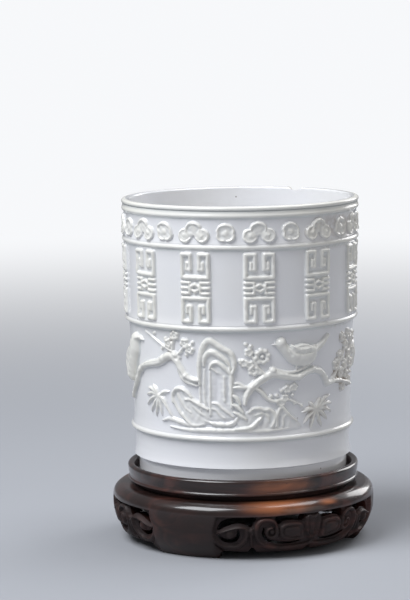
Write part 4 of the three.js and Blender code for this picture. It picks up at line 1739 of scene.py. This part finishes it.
    def _leaves_left(self, clay: Clay) -> None:
        """The spray of pointed leaves at the left."""
        clay.spray((-47.1, 34.5), [(-52.5, 44.9), (-57.1, 40.9), (-58.2, 33.3), (-39.7, 39.9),
                                   (-57.9, 23.6), (-54.2, 17.3), (-50.1, 13.5), (-45.4, 15),
                                   (-40.2, 21.7), (-37.8, 14.5), (-41.5, 28)])
        clay.soil(-62, -34, 0.12)

    def _leaves_right(self, clay: Clay) -> None:
        """The spray of pointed leaves at the right."""
        clay.spray((40.1, 21.3), [(31.4, 19.3), (36, 28.9), (43.6, 32.5), (51.6, 32.9),
                                  (53.3, 24.2), (52.8, 16.1), (49.4, 9.2), (44.8, 3.2), (37.1, 2.2),
                                  (32.8, 8.4)])
        clay.soil(28, 60, 0.75)

    def _bird_clinging(self, clay: Clay) -> None:
        """Models the bird at the left edge, clinging with its head up and its tail down.

        Args:
            clay: The clay to work.
        """
        clay.slab([(-63.3, 84.1), (-60.4, 87.7), (-62.6, 90.6), (-67.8, 90.3), (-71.5, 86),
                   (-73.5, 78.8), (-78, 72), (-80, 63.9), (-79.5, 56), (-78.5, 48.5), (-75.5, 42),
                   (-71.5, 43.5), (-68.7, 53.2), (-66.4, 63.4), (-63.8, 73.8)], 3.9, 5.0)
        clay.domes([(-66.7, 86.2)], 3.4, 3.3)
        clay.strip([(-62.6, 86.9), (-58.8, 86.3)], [1.8, 0.5], 1.6)
        clay.slab([(-72, 77), (-76.5, 69), (-78, 58), (-76, 47), (-73, 47.8), (-70.5, 58.2),
                   (-68.2, 69.4)], 0.6, 1.6, base=3.3)
        for points in ([(-71.5, 72), (-75, 60.2), (-74.8, 49)],
                       [(-69.5, 71), (-72.5, 60), (-73, 50)]):
            clay.groove(points, 0.7, 0.4)
        clay.domes([(-65.7, 87.8)], 0.5, 0.3, base=2.9)

    def _bird_perched(self, clay: Clay) -> None:
        """Models the bird on the right branch, with a folded wing and a raised tail.

        Args:
            clay: The clay to work.
        """
        clay.slab([(16.8, 85.9), (18.4, 91), (20.5, 93.1), (22.3, 90), (24.5, 85.5), (27.8, 84),
                   (31.8, 85.8), (36.6, 84.4), (40.5, 82.3), (40.7, 73.6), (38.7, 67.3),
                   (34.6, 64.2), (29.3, 64.7), (24.9, 67.8), (21.7, 73.9), (18.9, 80.5)], 3.1, 5.0)
        clay.slab([(37.2, 83.4), (41.1, 85), (44.3, 88.7), (47.6, 92.8), (49.9, 91.3), (47.6, 85.6),
                   (43.9, 79.6), (39.8, 75.7)], 2.0, 1.8)
        clay.domes([(19.8, 88.2)], 2.9, 2.8)
        clay.strip([(17.9, 87.2), (15.3, 87)], [1.7, 0.5], 1.6)
        clay.strip([(20, 90.8), (20.5, 94)], [1.5, 0.6], 1.7)
        clay.slab([(25, 84), (27.8, 85.5), (31.2, 86.4), (35.4, 84.7), (39.1, 80.6), (37.8, 75.1),
                   (34.1, 73), (29.4, 74.7), (26.6, 78.5)], 0.9, 1.4, base=2.2)
        clay.strip([(25.3, 85.4), (28.3, 81.3), (31.7, 80.7), (35.4, 82)], [1.0, 1.9, 1.7, 0.8],
                   0.7, base=2.7)
        feathers = [
            [(27.7, 78.8), (31.7, 77.2), (36.6, 78.2)],
            [(28.3, 83.9), (31.8, 84), (36, 83)],
            [(40.4, 78.4), (44.2, 84.4), (48.4, 90.2)],
            [(39.1, 81.6), (43.2, 86.5), (47.6, 91)],
            [(22.3, 87.2), (23.1, 81.4), (25, 76.4)],
        ]
        for points in feathers:
            clay.groove(points, 0.7, 0.55)
        coverts = [((27.6, 82.6), (30.6, 83.6)), ((28.6, 79.4), (34.2, 81.2))]
        for row, (start, end) in enumerate(coverts):
            for share in np.linspace(0, 1, 3 + row):
                x, z = (a + (b - a) * share for a, b in zip(start, end))
                clay.groove([(x, z), (x + 1.1, z - 1.6), (x + 0.6, z - 3.6)], 0.5, 0.4)
        for points in ([(28.2, 65.4), (28.2, 59.6)], [(32.8, 65), (32.2, 60.8)]):
            clay.strip(points, [1.3, 0.9], 1.4)
        clay.domes([(19.0, 89.4)], 0.5, 0.35, base=2.35)


# The stand


@dataclass
class StandForm:
    """Sizes of the stand, in millimetres above the desk."""

    belly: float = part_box("stand_body")[1].x / MM
    body_top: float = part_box("stand_body")[1].z / MM
    collar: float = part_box("stand_seat")[1].x / MM
    top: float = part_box("stand_seat")[1].z / MM
    seat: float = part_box("pot_body")[0].z / MM
    foot: float = 57.2
    shoulder: float = 61.2
    belly_z: float = 18.6
    swell: float = 2.0
    rounding: float = 5.0
    wall: float = 7.0
    ledge: float = 5.0
    spigot: float = 47.7
    spigot_depth: float = 3.4
    neck: float = 54.5
    neck_height: float = 2.4
    recess: float = 54.3
    play: float = 0.3

    def radius(self, z: float) -> float:
        """Works out the body's outer radius.

        Args:
            z: A height above the desk.

        Returns:
            The radius there.
        """
        if z < self.belly_z:
            return self.belly - (self.belly - self.foot) * (1 - z / self.belly_z) ** self.swell
        share = (z - self.belly_z) / (self.body_top - self.belly_z)
        return self.belly - (self.belly - self.shoulder) * share**self.rounding


@dataclass
class CarvedBody:
    """The stand's ring: three pierced and carved panels between three plain feet."""

    form: StandForm = field(default_factory=StandForm)
    sides: int = 720
    panels: int = 3
    panel_bearing: float = 31.5
    panel_half: float = 45.8
    carving_top: float = 22.6
    cell: float = 0.36
    depth: float = 1.7
    pierced_edge: float = 0.7
    pierced_edge_width: float = 0.55
    dullness: float = 0.4
    arch: float = 3.3
    arch_rise: float = 1.5
    arch_end: float = 43.7
    arch_shoulder: float = 4.0
    arch_drop: float = 0.25
    notch: float = 2.6
    notch_places: tuple[float, ...] = (0.0, 27.6)

    def build(self, wood: bpy.types.Material) -> None:
        """Carves the ring, pierces it and dresses it.

        Args:
            wood: The wood's material.
        """
        points, faces, hollow = self._ring()
        body = mesh_object("carved_body", points, faces)
        store(body, "hollow", hollow)
        carve_away(body, self._cutters(), "MANIFOLD")
        only(body)
        bpy.ops.object.shade_smooth_by_angle(angle=CREASE)
        dress(body, "stand", STAND_SLOT, ["stand_body"], wood)

    def _arc(self, offset: float) -> float:
        """Millimetres of arc on the belly for an angle from a panel's middle."""
        return math.radians(offset) * self.form.belly

    def _line(self, *points: Point) -> list[Point]:
        """Points of a panel, from angles off its middle and heights in millimetres."""
        return [(self._arc(offset), height) for offset, height in points]

    def _profile(self) -> tuple[np.ndarray, int]:
        """Lists the ring's section: up the outside, over the top and down the inside.

        Returns:
            Radius and height of each point, and how many of the first are the carved outside.
        """
        form = self.form
        low = np.arange(0.5, self.carving_top + 1.0, self.cell)
        high = np.linspace(self.carving_top + 1.4, form.body_top - 0.3, 16)
        outside = [(form.radius(z), z) for z in [*low, *high]]
        bore = form.spigot + form.play
        ledge = form.body_top - form.ledge
        inside = [(form.radius(z) - form.wall, z) for z in np.linspace(ledge, 0.4, 9)]
        closing = [
            (form.shoulder - 0.5, form.body_top), (bore + 0.4, form.body_top),
            (bore, form.body_top - 0.4), (bore, ledge + 0.4), (bore + 0.4, ledge),
            (inside[0][0] - 1.5, ledge), *inside[1:], (form.foot - form.wall + 0.4, 0),
            (form.foot - 0.5, 0),
        ]
        return np.array(outside + closing), len(outside)

    def _ring(self) -> tuple[np.ndarray, np.ndarray, np.ndarray]:
        """Carves the ring's outside.

        Returns:
            Its points, its faces and a mark for hollows.
        """
        profile, carved = self._profile()
        turn = 2 * math.pi * np.arange(self.sides) / self.sides
        radius = np.repeat(profile[:, :1], self.sides, axis=1)
        height = np.repeat(profile[:, 1:], self.sides, axis=1)
        sunk = self._carving(turn, height[:carved])
        radius[:carved] -= sunk
        hollow = np.zeros(radius.shape)
        hollow[:carved] = np.maximum(
            np.clip(sunk / self.depth, 0, 1) ** 1.5,
            self.dullness * self._within(turn, height[:carved]),
        )
        points = round_axis(radius, turn, height).reshape(-1, 3)
        rows = len(profile)
        ring = np.arange(rows * self.sides).reshape(rows, self.sides)
        right = np.roll(ring, -1, axis=1)
        above = np.roll(ring, -1, axis=0)
        across = np.roll(right, -1, axis=0)
        faces = np.stack([ring, right, across, above], axis=-1).reshape(-1, 4)
        return points, faces, hollow.ravel()

    def _across(self, turn: np.ndarray) -> np.ndarray:
        """Measures how far round the belly the nearest panel's middle is.

        Args:
            turn: Angles from the front.

        Returns:
            The arc to it in millimetres, never negative.
        """
        pitch = 360 / self.panels
        offset = (np.degrees(turn) - self.panel_bearing + pitch / 2) % pitch - pitch / 2
        return np.abs(np.radians(offset)) * self.form.belly

    def _within(self, turn: np.ndarray, z: np.ndarray) -> np.ndarray:
        """One inside a panel, fading to nothing at its edges."""
        sides = smoothstep((self._arc(self.panel_half) - self._across(turn)) / 2.0)
        return sides * smoothstep((self.carving_top - z) / 1.0)

    def _carving(self, turn: np.ndarray, z: np.ndarray) -> np.ndarray:
        """Works out how deep the outside is cut.

        Args:
            turn: Angles from the front.
            z: A row of heights for each ring of the outside.

        Returns:
            The depth at each point.
        """
        relief = Relief(np.broadcast_to(self._across(turn), z.shape).copy(), z.copy())
        self._scrolls(relief)
        sunk = (self.depth - np.clip(relief.height, 0, self.depth)) * self._within(turn, z)
        for outline in self._piercings():
            rim = curved(outline, 4, closed=True)
            gap, _ = relief.near(np.vstack([rim, rim[:1]]))
            sunk += self.pierced_edge * np.exp(-((gap / self.pierced_edge_width) ** 2))
        return sunk

    def _scrolls(self, relief: Relief) -> None:
        """Models half a panel: knot, cartouche, curled scroll and end scroll.

        Args:
            relief: The wood, measured from the panel's middle.
        """
        line, depth = self._line, self.depth
        self._knot(relief)
        relief.slab(line((4.5, 9.3), (4.6, 14), (5.5, 17.7), (9.7, 18.4), (13.8, 18.0),
                         (15.9, 15.9), (16, 13.2), (14.6, 10.4), (9, 8.9)), depth, 1.3)
        relief.groove(line((6.3, 10.8), (6.5, 15.7), (9.9, 16.5), (13.2, 16.0), (14.1, 14.3),
                           (13.2, 11.7), (9.4, 10.6), (6.3, 10.8)), 1.0, 0.7)
        scroll = line((17.2, 16.2), (17.7, 18.6), (20.1, 20.1), (23.2, 20.1), (25.2, 18.5),
                      (26.0, 15.6), (25.7, 12.0), (24.0, 8.7), (20.9, 6.5), (16.2, 5.2), (9.9, 5.0),
                      (3, 5.7), (-1, 7.4))
        relief.strip(scroll, [1.5, 2.2, 2.6, 2.6, 2.9, 3.1, 3.0, 2.4], depth)
        relief.groove(line((25.2, 15), (24.9, 11.9), (23.2, 9.3), (20.5, 7.3), (16, 6.0), (9, 5.8)),
                      0.7, 0.5)
        hook = line((17.1, 16.3), (16.9, 13.4), (17.9, 11.5), (20.0, 11.2), (21.6, 13.0),
                    (21.0, 15.4), (19.2, 16.2))
        relief.strip(hook, [2.0, 2.3, 2.2, 1.9, 1.3], depth)
        relief.dome(*line((19.2, 14.2)), 1.5, 0.95 * depth)
        tongue = line((43.4, 13.6), (39.9, 14.9), (36.4, 16.1), (33.5, 16.8), (30.7, 16.1),
                      (28.6, 14.2))
        relief.strip(tongue, [0.8, 2.0, 2.5, 2.5, 2.3, 1.9], depth, Section.RIDGE)
        rim = line((45.4, 12.6), (43.9, 9.2), (41.3, 7.1), (37.7, 6.2), (34.1, 6.9), (31.5, 9.3),
                   (30.3, 12.6), (30.4, 15.4))
        relief.strip(rim, [1.4, 2.3, 2.5, 2.5, 2.3, 2.0], depth)
        relief.groove(line((43.0, 9.3), (40.9, 7.8), (37.7, 7.0), (34.6, 7.6)), 0.6, 0.45)
        relief.dome(*line((37.6, 13.1)), 2.3, depth, tall=1.05)
        relief.strip(line((28.1, 15.6), (28.3, 11.6), (27.9, 6.6)), [2.0, 1.8, 1.4], 0.9 * depth)
        relief.strip(line((0, 22.6), (46, 22.6)), [2.0, 2.0], depth, Section.FLAT)
        relief.slab(line((49, 2), (49, 23.6), (43.8, 23.2), (43.5, 19), (44.6, 15.8), (45.8, 12.6),
                         (44.4, 8.4), (42.4, 5.4), (40.5, 4.0), (40.5, 2)), depth, 0.7)

    def _knot(self, relief: Relief) -> None:
        """Models the shield of folded ribs between the two halves of a panel.

        Args:
            relief: The wood, measured from the panel's middle.
        """
        line, depth = self._line, self.depth
        relief.slab(line((-1, 6.8), (0, 6.8), (2.4, 10.4), (3.6, 15), (3.8, 19.2), (2.2, 20.7),
                         (-1, 20.5)), 0.6 * depth, 0.9)
        relief.strip(line((3.2, 19.6), (3.1, 15.5), (1.9, 11), (0.2, 7.8)), [1.5, 1.9, 1.6, 1.0],
                     depth, Section.RIDGE)
        relief.strip(line((0, 20.2), (0, 14), (0, 8)), [1.9, 1.7, 1.2], depth, Section.RIDGE)
        relief.groove(line((1.7, 19.0), (1.6, 15), (0.9, 11)), 1.0, 0.6)
        relief.groove(line((4.3, 18.6), (4.1, 14.6), (2.8, 10.2), (1.2, 7.4)), 0.9, 0.6)
        relief.strip(line((3.7, 19.8), (2.0, 21.0), (0.6, 20.0), (-0.6, 20.9)), [1.4, 1.7, 1.5],
                     depth)

    def _piercings(self) -> list[Path]:
        """Draws half a panel's holes on the unrolled belly.

        Returns:
            Their outlines.
        """
        holes = [
            [(3.8, 21.6), (9.3, 21.7), (14.7, 21.6), (17.6, 21.1), (17.2, 19.2), (16.3, 17.5),
             (14, 18.8), (10.2, 19.2), (5.4, 18.6), (4.4, 19.8)],
            [(43.2, 16.2), (41.5, 19.4), (37.2, 21.2), (30.9, 21.3), (26.0, 21.3), (27.1, 18.8),
             (28.6, 16.6), (30.5, 17.8), (33.5, 18.7), (36.9, 18.0), (40.3, 16.5), (42.7, 15.2)],
        ]
        slots = [
            ([(22.6, 16.2), (23.0, 13.6), (21.8, 10.7), (19, 8.9), (14.9, 8.0), (10.1, 7.6),
              (5.2, 8.2)], 1.5),
            ([(34.0, 15.2), (34.0, 12.6), (35.4, 10.4), (37.9, 9.6), (40.9, 10.4), (43.0, 12.6)],
             2.2),
        ]
        outlines: list[Path] = [self._line(*hole) for hole in holes]
        for middle, width in slots:
            path = curved(self._line(*middle), 3)
            along = np.gradient(path, axis=0)
            across = np.stack([-along[:, 1], along[:, 0]], axis=1) / np.hypot(*along.T)[:, None]
            taper = np.sin(np.linspace(0.12, math.pi - 0.12, len(path)))
            half = width / 2 * np.sqrt(taper)[:, None]
            edges = [path + across * half, (path - across * half)[::-1]]
            outlines.append(np.vstack(edges).tolist())
        return outlines

    def _cutters(self) -> list[bpy.types.Object]:
        """Makes solids for the holes and the arched lower edge of every panel.

        Returns:
            The solids to cut away.
        """
        cutters = []
        for panel in range(self.panels):
            bearing = self.panel_bearing + 360 / self.panels * panel
            cutters.append(self._arch_cutter(bearing))
            for side in (-1, 1):
                for outline in self._piercings():
                    rim = curved(outline, 3, closed=True)
                    cutters.append(self._hole_cutter(rim, bearing, side))
        return cutters

    def _cut_radii(self) -> Point:
        """Radii well inside and well outside the ring, between which cutters reach."""
        return self.form.foot - 2 * self.form.wall, self.form.belly + 3

    def _hole_cutter(self, outline: np.ndarray, bearing: float, side: int) -> bpy.types.Object:
        """Makes the solid that cuts one hole, its walls pointing at the axis.

        Args:
            outline: The hole's outline on the unrolled belly.
            bearing: The panel's middle, in degrees.
            side: 1 for the outline as drawn, -1 for its mirror image.

        Returns:
            The solid.
        """
        flat = outline if side > 0 else outline[::-1] * np.array([-1, 1])
        turn = math.radians(bearing) + flat[:, 0] / self.form.belly
        rings = [round_axis(radius, turn, flat[:, 1]) for radius in self._cut_radii()]
        count = len(flat)
        sides = [(i, (i + 1) % count, (i + 1) % count + count, i + count) for i in range(count)]
        caps = [tuple(range(count - 1, -1, -1)), tuple(range(count, 2 * count))]
        return self._closed("hole", np.vstack(rings), sides + caps)

    def _arch_cutter(self, bearing: float) -> bpy.types.Object:
        """Makes the solid that cuts a panel's arched and notched lower edge.

        Args:
            bearing: The panel's middle, in degrees.

        Returns:
            The solid.
        """
        offset = np.linspace(-self.arch_end, self.arch_end, 181)
        arc, end = np.radians(np.abs(offset)) * self.form.belly, self._arc(self.arch_end)
        rise = self.arch + self.arch_rise * (arc / end) ** 2
        fall = np.clip((arc - end + self.arch_shoulder) / self.arch_shoulder, 0, 1)
        edge = rise * np.sqrt(np.clip(1 - fall**2, 0, 1))
        for place in self.notch_places:
            gap = np.clip(np.abs(arc - self._arc(place)) / self.notch, 0, 1)
            edge = edge + (self.notch - 0.2) * np.cos(gap * math.pi / 2) ** 1.5
        edge = edge - self.arch_drop
        base = np.full(edge.shape, -3.0)
        inner, outer = self._cut_radii()
        corners = [(inner, base), (outer, base), (outer, edge), (inner, edge)]
        turn = np.radians(bearing + offset)
        loops = [round_axis(radius, turn, height) for radius, height in corners]
        points = np.stack(loops, axis=1).reshape(-1, 3)
        count = len(offset)
        faces: list[tuple[int, ...]] = [(0, 1, 2, 3), tuple(4 * count - k for k in (1, 2, 3, 4))]
        for i in range(count - 1):
            for k in range(4):
                a, b = 4 * i + k, 4 * i + (k + 1) % 4
                faces.append((a, a + 4, b + 4, b))
        return self._closed("arch", points, faces)

    @staticmethod
    def _closed(
        name: str, points: np.ndarray, faces: Sequence[tuple[int, ...]],
    ) -> bpy.types.Object:
        """Makes a closed object whose faces all point outwards.

        Args:
            name: The object's name.
            points: Its points, in millimetres.
            faces: Point numbers for each face.

        Returns:
            The object.
        """
        mesh = bpy.data.meshes.new(name)
        mesh.from_pydata((points * MM).tolist(), [], faces)
        obj = bpy.data.objects.new(mesh.name, mesh)
        bpy.context.scene.collection.objects.link(obj)
        only(obj)
        bpy.ops.object.mode_set(mode="EDIT")
        bpy.ops.mesh.select_all(action="SELECT")
        bpy.ops.mesh.normals_make_consistent(inside=False)
        bpy.ops.object.mode_set(mode="OBJECT")
        return obj


@dataclass
class TurnedSeat:
    """The turned dish with its neck and collar, let into the body."""

    form: StandForm = field(default_factory=StandForm)
    sides: int = 192
    collar_swell: float = 0.7
    collar_bead: float = 0.75
    bead_inset: float = 0.95
    rim_height: float = 1.5
    dust: float = 0.7

    def build(self, wood: bpy.types.Material) -> None:
        """Turns the seat and dresses it.

        Args:
            wood: The wood's material.
        """
        seat = turned("turned_seat", self._rings(), self.sides)
        store(seat, "hollow", self._hollow(seat))
        dress(seat, "stand", STAND_SLOT, ["stand_seat"], wood)

    def _rings(self) -> list[Point]:
        """Lists the rings from the underside round to the middle of the seat.

        Returns:
            Radius and height of each ring.
        """
        form, bead = self.form, self.collar_bead
        under = form.body_top
        spigot_end = under - form.spigot_depth
        neck_top = under + form.neck_height
        rings = [
            (3, spigot_end), (form.spigot - 0.5, spigot_end), (form.spigot, spigot_end + 0.5),
            (form.spigot, under), (form.neck - 0.2, under), (form.neck, under + 0.2),
            (form.neck, neck_top - 0.3), (form.neck + 0.25, neck_top),
        ]
        for angle in np.radians(np.linspace(-90, 70, 9)):
            out, up = bead * math.cos(angle), bead * (1 + math.sin(angle))
            rings.append((form.collar - self.bead_inset + out, neck_top + up))
        for share in np.linspace(0, 1, 7):
            rise = share * (form.top - 2.2 - neck_top - 2.2 * bead)
            swell = self.collar_swell * (1 - share) ** 2
            rings.append((form.collar - swell - 0.1, neck_top + 2.2 * bead + 0.15 + rise))
        crown, half = form.top - self.rim_height, (form.collar - form.recess) / 2
        for angle in np.radians(np.linspace(0, 165, 11)):
            out, up = half * math.cos(angle), self.rim_height * math.sin(angle)
            rings.append((form.recess + half + out, crown + up))
        rings += [
            (form.recess, crown - 0.6), (form.recess, form.seat + 0.5),
            (form.recess - 0.5, form.seat),
        ]
        return rings + [(form.recess * share, form.seat) for share in (0.9, 0.5, 0.05)]

    def _hollow(self, seat: bpy.types.Object) -> np.ndarray:
        """Marks the neck's groove and the recess, where dust and old wax gather.

        Args:
            seat: The turned seat.

        Returns:
            One value for each point.
        """
        form = self.form
        _, radius, z = polar(seat)
        level = np.abs(z - form.body_top - form.neck_height / 2)
        neck = (level < form.neck_height) & (radius < form.neck + 0.4)
        dish = (radius < form.recess + 0.1) & (z < form.top - 1)
        return np.where(neck | dish, self.dust, 0.0)


# Camera, floor and lights


@dataclass(frozen=True)
class StudioCamera:
    """The camera that fits the rings of the pot in the photograph, in millimetres and degrees."""

    distance: float = 1285.9
    height: float = 284.65
    focal_pixels: float = 2594.8
    long_side_pixels: float = 600.0
    pitch: float = 7.34
    yaw: float = -0.8
    roll: float = -0.80
    sensor: float = 36.0

    def build(self) -> None:
        """Makes the camera and puts it to use."""
        data = bpy.data.cameras.new("studio_camera")
        data.sensor_width = self.sensor
        data.lens = self.sensor * self.focal_pixels / self.long_side_pixels
        camera = bpy.data.objects.new("studio_camera", data)
        bpy.context.scene.collection.objects.link(camera)
        pitch, yaw, roll = (math.radians(a) for a in (self.pitch, self.yaw, self.roll))
        ahead = Vector((math.sin(yaw) * math.cos(pitch), math.cos(yaw) * math.cos(pitch),
                        -math.sin(pitch)))
        right = ahead.cross(Vector((0, 0, 1))).normalized()
        up = right.cross(ahead)
        level_right = right * math.cos(roll) + up * math.sin(roll)
        level_up = up * math.cos(roll) - right * math.sin(roll)
        turn = Matrix((level_right, level_up, -ahead)).transposed().to_4x4()
        camera.matrix_world = Matrix.Translation(Vector((0, -self.distance,
                                                         self.height)) * MM) @ turn
        bpy.context.scene.camera = camera


@dataclass(frozen=True)
class Lamp:
    """A square soft lamp that faces the object, in metres and watts.

    Its shine is how strongly gloss mirrors it.
    """

    name: str
    place: Spot
    size: float
    power: float
    colour: Colour
    shine: float = 1.0
    aim: Spot = (0.0, 0.0, 0.08)

    def build(self) -> None:
        """Sets up the lamp."""
        data = bpy.data.lights.new(self.name, "AREA")
        data.size = self.size
        data.energy = self.power
        data.specular_factor = self.shine
        data.color = self.colour
        lamp = bpy.data.objects.new(self.name, data)
        bpy.context.scene.collection.objects.link(lamp)
        lamp.location = self.place
        ahead = Vector(self.aim) - Vector(self.place)
        lamp.rotation_euler = ahead.to_track_quat("-Z", "Y").to_euler()


@dataclass(frozen=True)
class Studio:
    """A pale floor that fades into a pale surround, and soft lamps."""

    floor_radius: float = 6.0
    floor_colour: Colour = (0.36, 0.37, 0.395)
    surround: Colour = (0.93, 0.94, 0.96)
    sky: Colour = (0.86, 0.88, 0.93)
    sky_strength: float = 0.25
    fade: Point = (0.3, 1.5)
    lamps: tuple[Lamp, ...] = (
        Lamp("key_lamp", (-0.60, -0.46, 1.15), 0.8, 20.0, (0.94, 0.965, 1.0)),
        Lamp("fill_lamp", (0.95, -0.65, 0.45), 0.8, 1.4, (1.0, 0.95, 0.89)),
        Lamp("back_lamp", (0.66, 0.77, 0.45), 0.5, 3.2, (1.0, 1.0, 1.0), shine=0.5),
        Lamp("top_lamp", (0.45, 0.20, 1.25), 0.6, 5.4, (0.95, 0.97, 1.0), shine=0.2),
    )

    def build(self) -> None:
        """Makes the floor, the surround and the lamps."""
        self._floor()
        self._surround()
        for lamp in self.lamps:
            lamp.build()

    def _floor(self) -> None:
        """Adds the floor, which glows like the surround far from the object."""
        bpy.ops.object.select_all(action="DESELECT")
        bpy.ops.mesh.primitive_circle_add(
            vertices=96, radius=self.floor_radius, fill_type="NGON",
        )
        floor = bpy.context.active_object
        floor.name = "floor"
        shader = Shader(bpy.data.materials.new("floor_paper"))
        far = shader.distance(shader.position(), (0, 0, 0)).step(*self.fade)
        colour, glow = (*self.floor_colour, 1.0), (*self.surround, 1.0)
        paper = shader.node("ShaderNodeBsdfDiffuse", inputs={"Color": colour})
        light = shader.node("ShaderNodeEmission", inputs={"Color": glow, "Strength": 1.0})
        seen = shader.node("ShaderNodeLightPath", output="Is Camera Ray")
        inputs = {0: far * seen, 1: paper, 2: light}
        shader.end(shader.node("ShaderNodeMixShader", inputs=inputs))
        floor.data.materials.append(shader.owner)

    def _surround(self) -> None:
        """Lights the scene softly from all sides, and shows white to the camera."""
        world = bpy.data.worlds.new("surround")
        bpy.context.scene.world = world
        shader = Shader(world)
        sky = {"Color": (*self.sky, 1.0), "Strength": self.sky_strength}
        soft = shader.node("ShaderNodeBackground", inputs=sky)
        white = shader.node("ShaderNodeBackground", inputs={"Color": (*self.surround, 1.0)})
        seen = shader.node("ShaderNodeLightPath", output="Is Camera Ray")
        both = shader.node("ShaderNodeMixShader", inputs={0: seen, 1: soft, 2: white})
        shader.end(both, "ShaderNodeOutputWorld")


def main() -> None:
    """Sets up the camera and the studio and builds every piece."""
    logging.basicConfig(level=logging.INFO, format="%(message)s")
    bpy.context.scene.view_settings.view_transform = "Standard"
    StudioCamera().build()
    Studio().build()
    form = PotForm()
    specks = (
        around(182.0, form.lip - form.wall, form.foot_z + 132.5),
        around(52.0, form.cloud.low + 1.0, form.foot_z + form.cloud.bottom + 7.5),
        around(47.0, form.foot, form.foot_z + 6.5),
    )
    glaze = PorcelainGlaze(speck_places=tuple(tuple(spot) for spot in specks)).build()
    bare = BarePorcelain().build()
    stand = StandForm()
    collar_level = 34.5
    amber = (
        (around(16.0, stand.belly - 1.6, 26.2), 0.024),
        (around(20.0, stand.collar, collar_level), 0.022),
        (around(40.0, stand.belly - 2.0, 26.0), 0.009),
        (around(-105.0, stand.belly - 1.5, 25.0), 0.019),
        (around(-140.0, stand.collar, collar_level), 0.020),
        (around(165.0, stand.belly - 2.0, 25.5), 0.022),
        (around(118.0, stand.collar, collar_level), 0.018),
    )
    wood = WaxedHardwood(amber_places=tuple((tuple(spot), reach) for spot, reach in amber)).build()
    PotBody(form).build(glaze, bare)
    CloudHeads(form.cloud, form.foot_z, glaze).build()
    FretTablets(form.tablet, form.foot_z, glaze).build()
    GardenScene(form.picture, form.foot_z, glaze).build()
    TurnedSeat().build(wood)
    CarvedBody().build(wood)


if __name__ == "__main__":
    main()
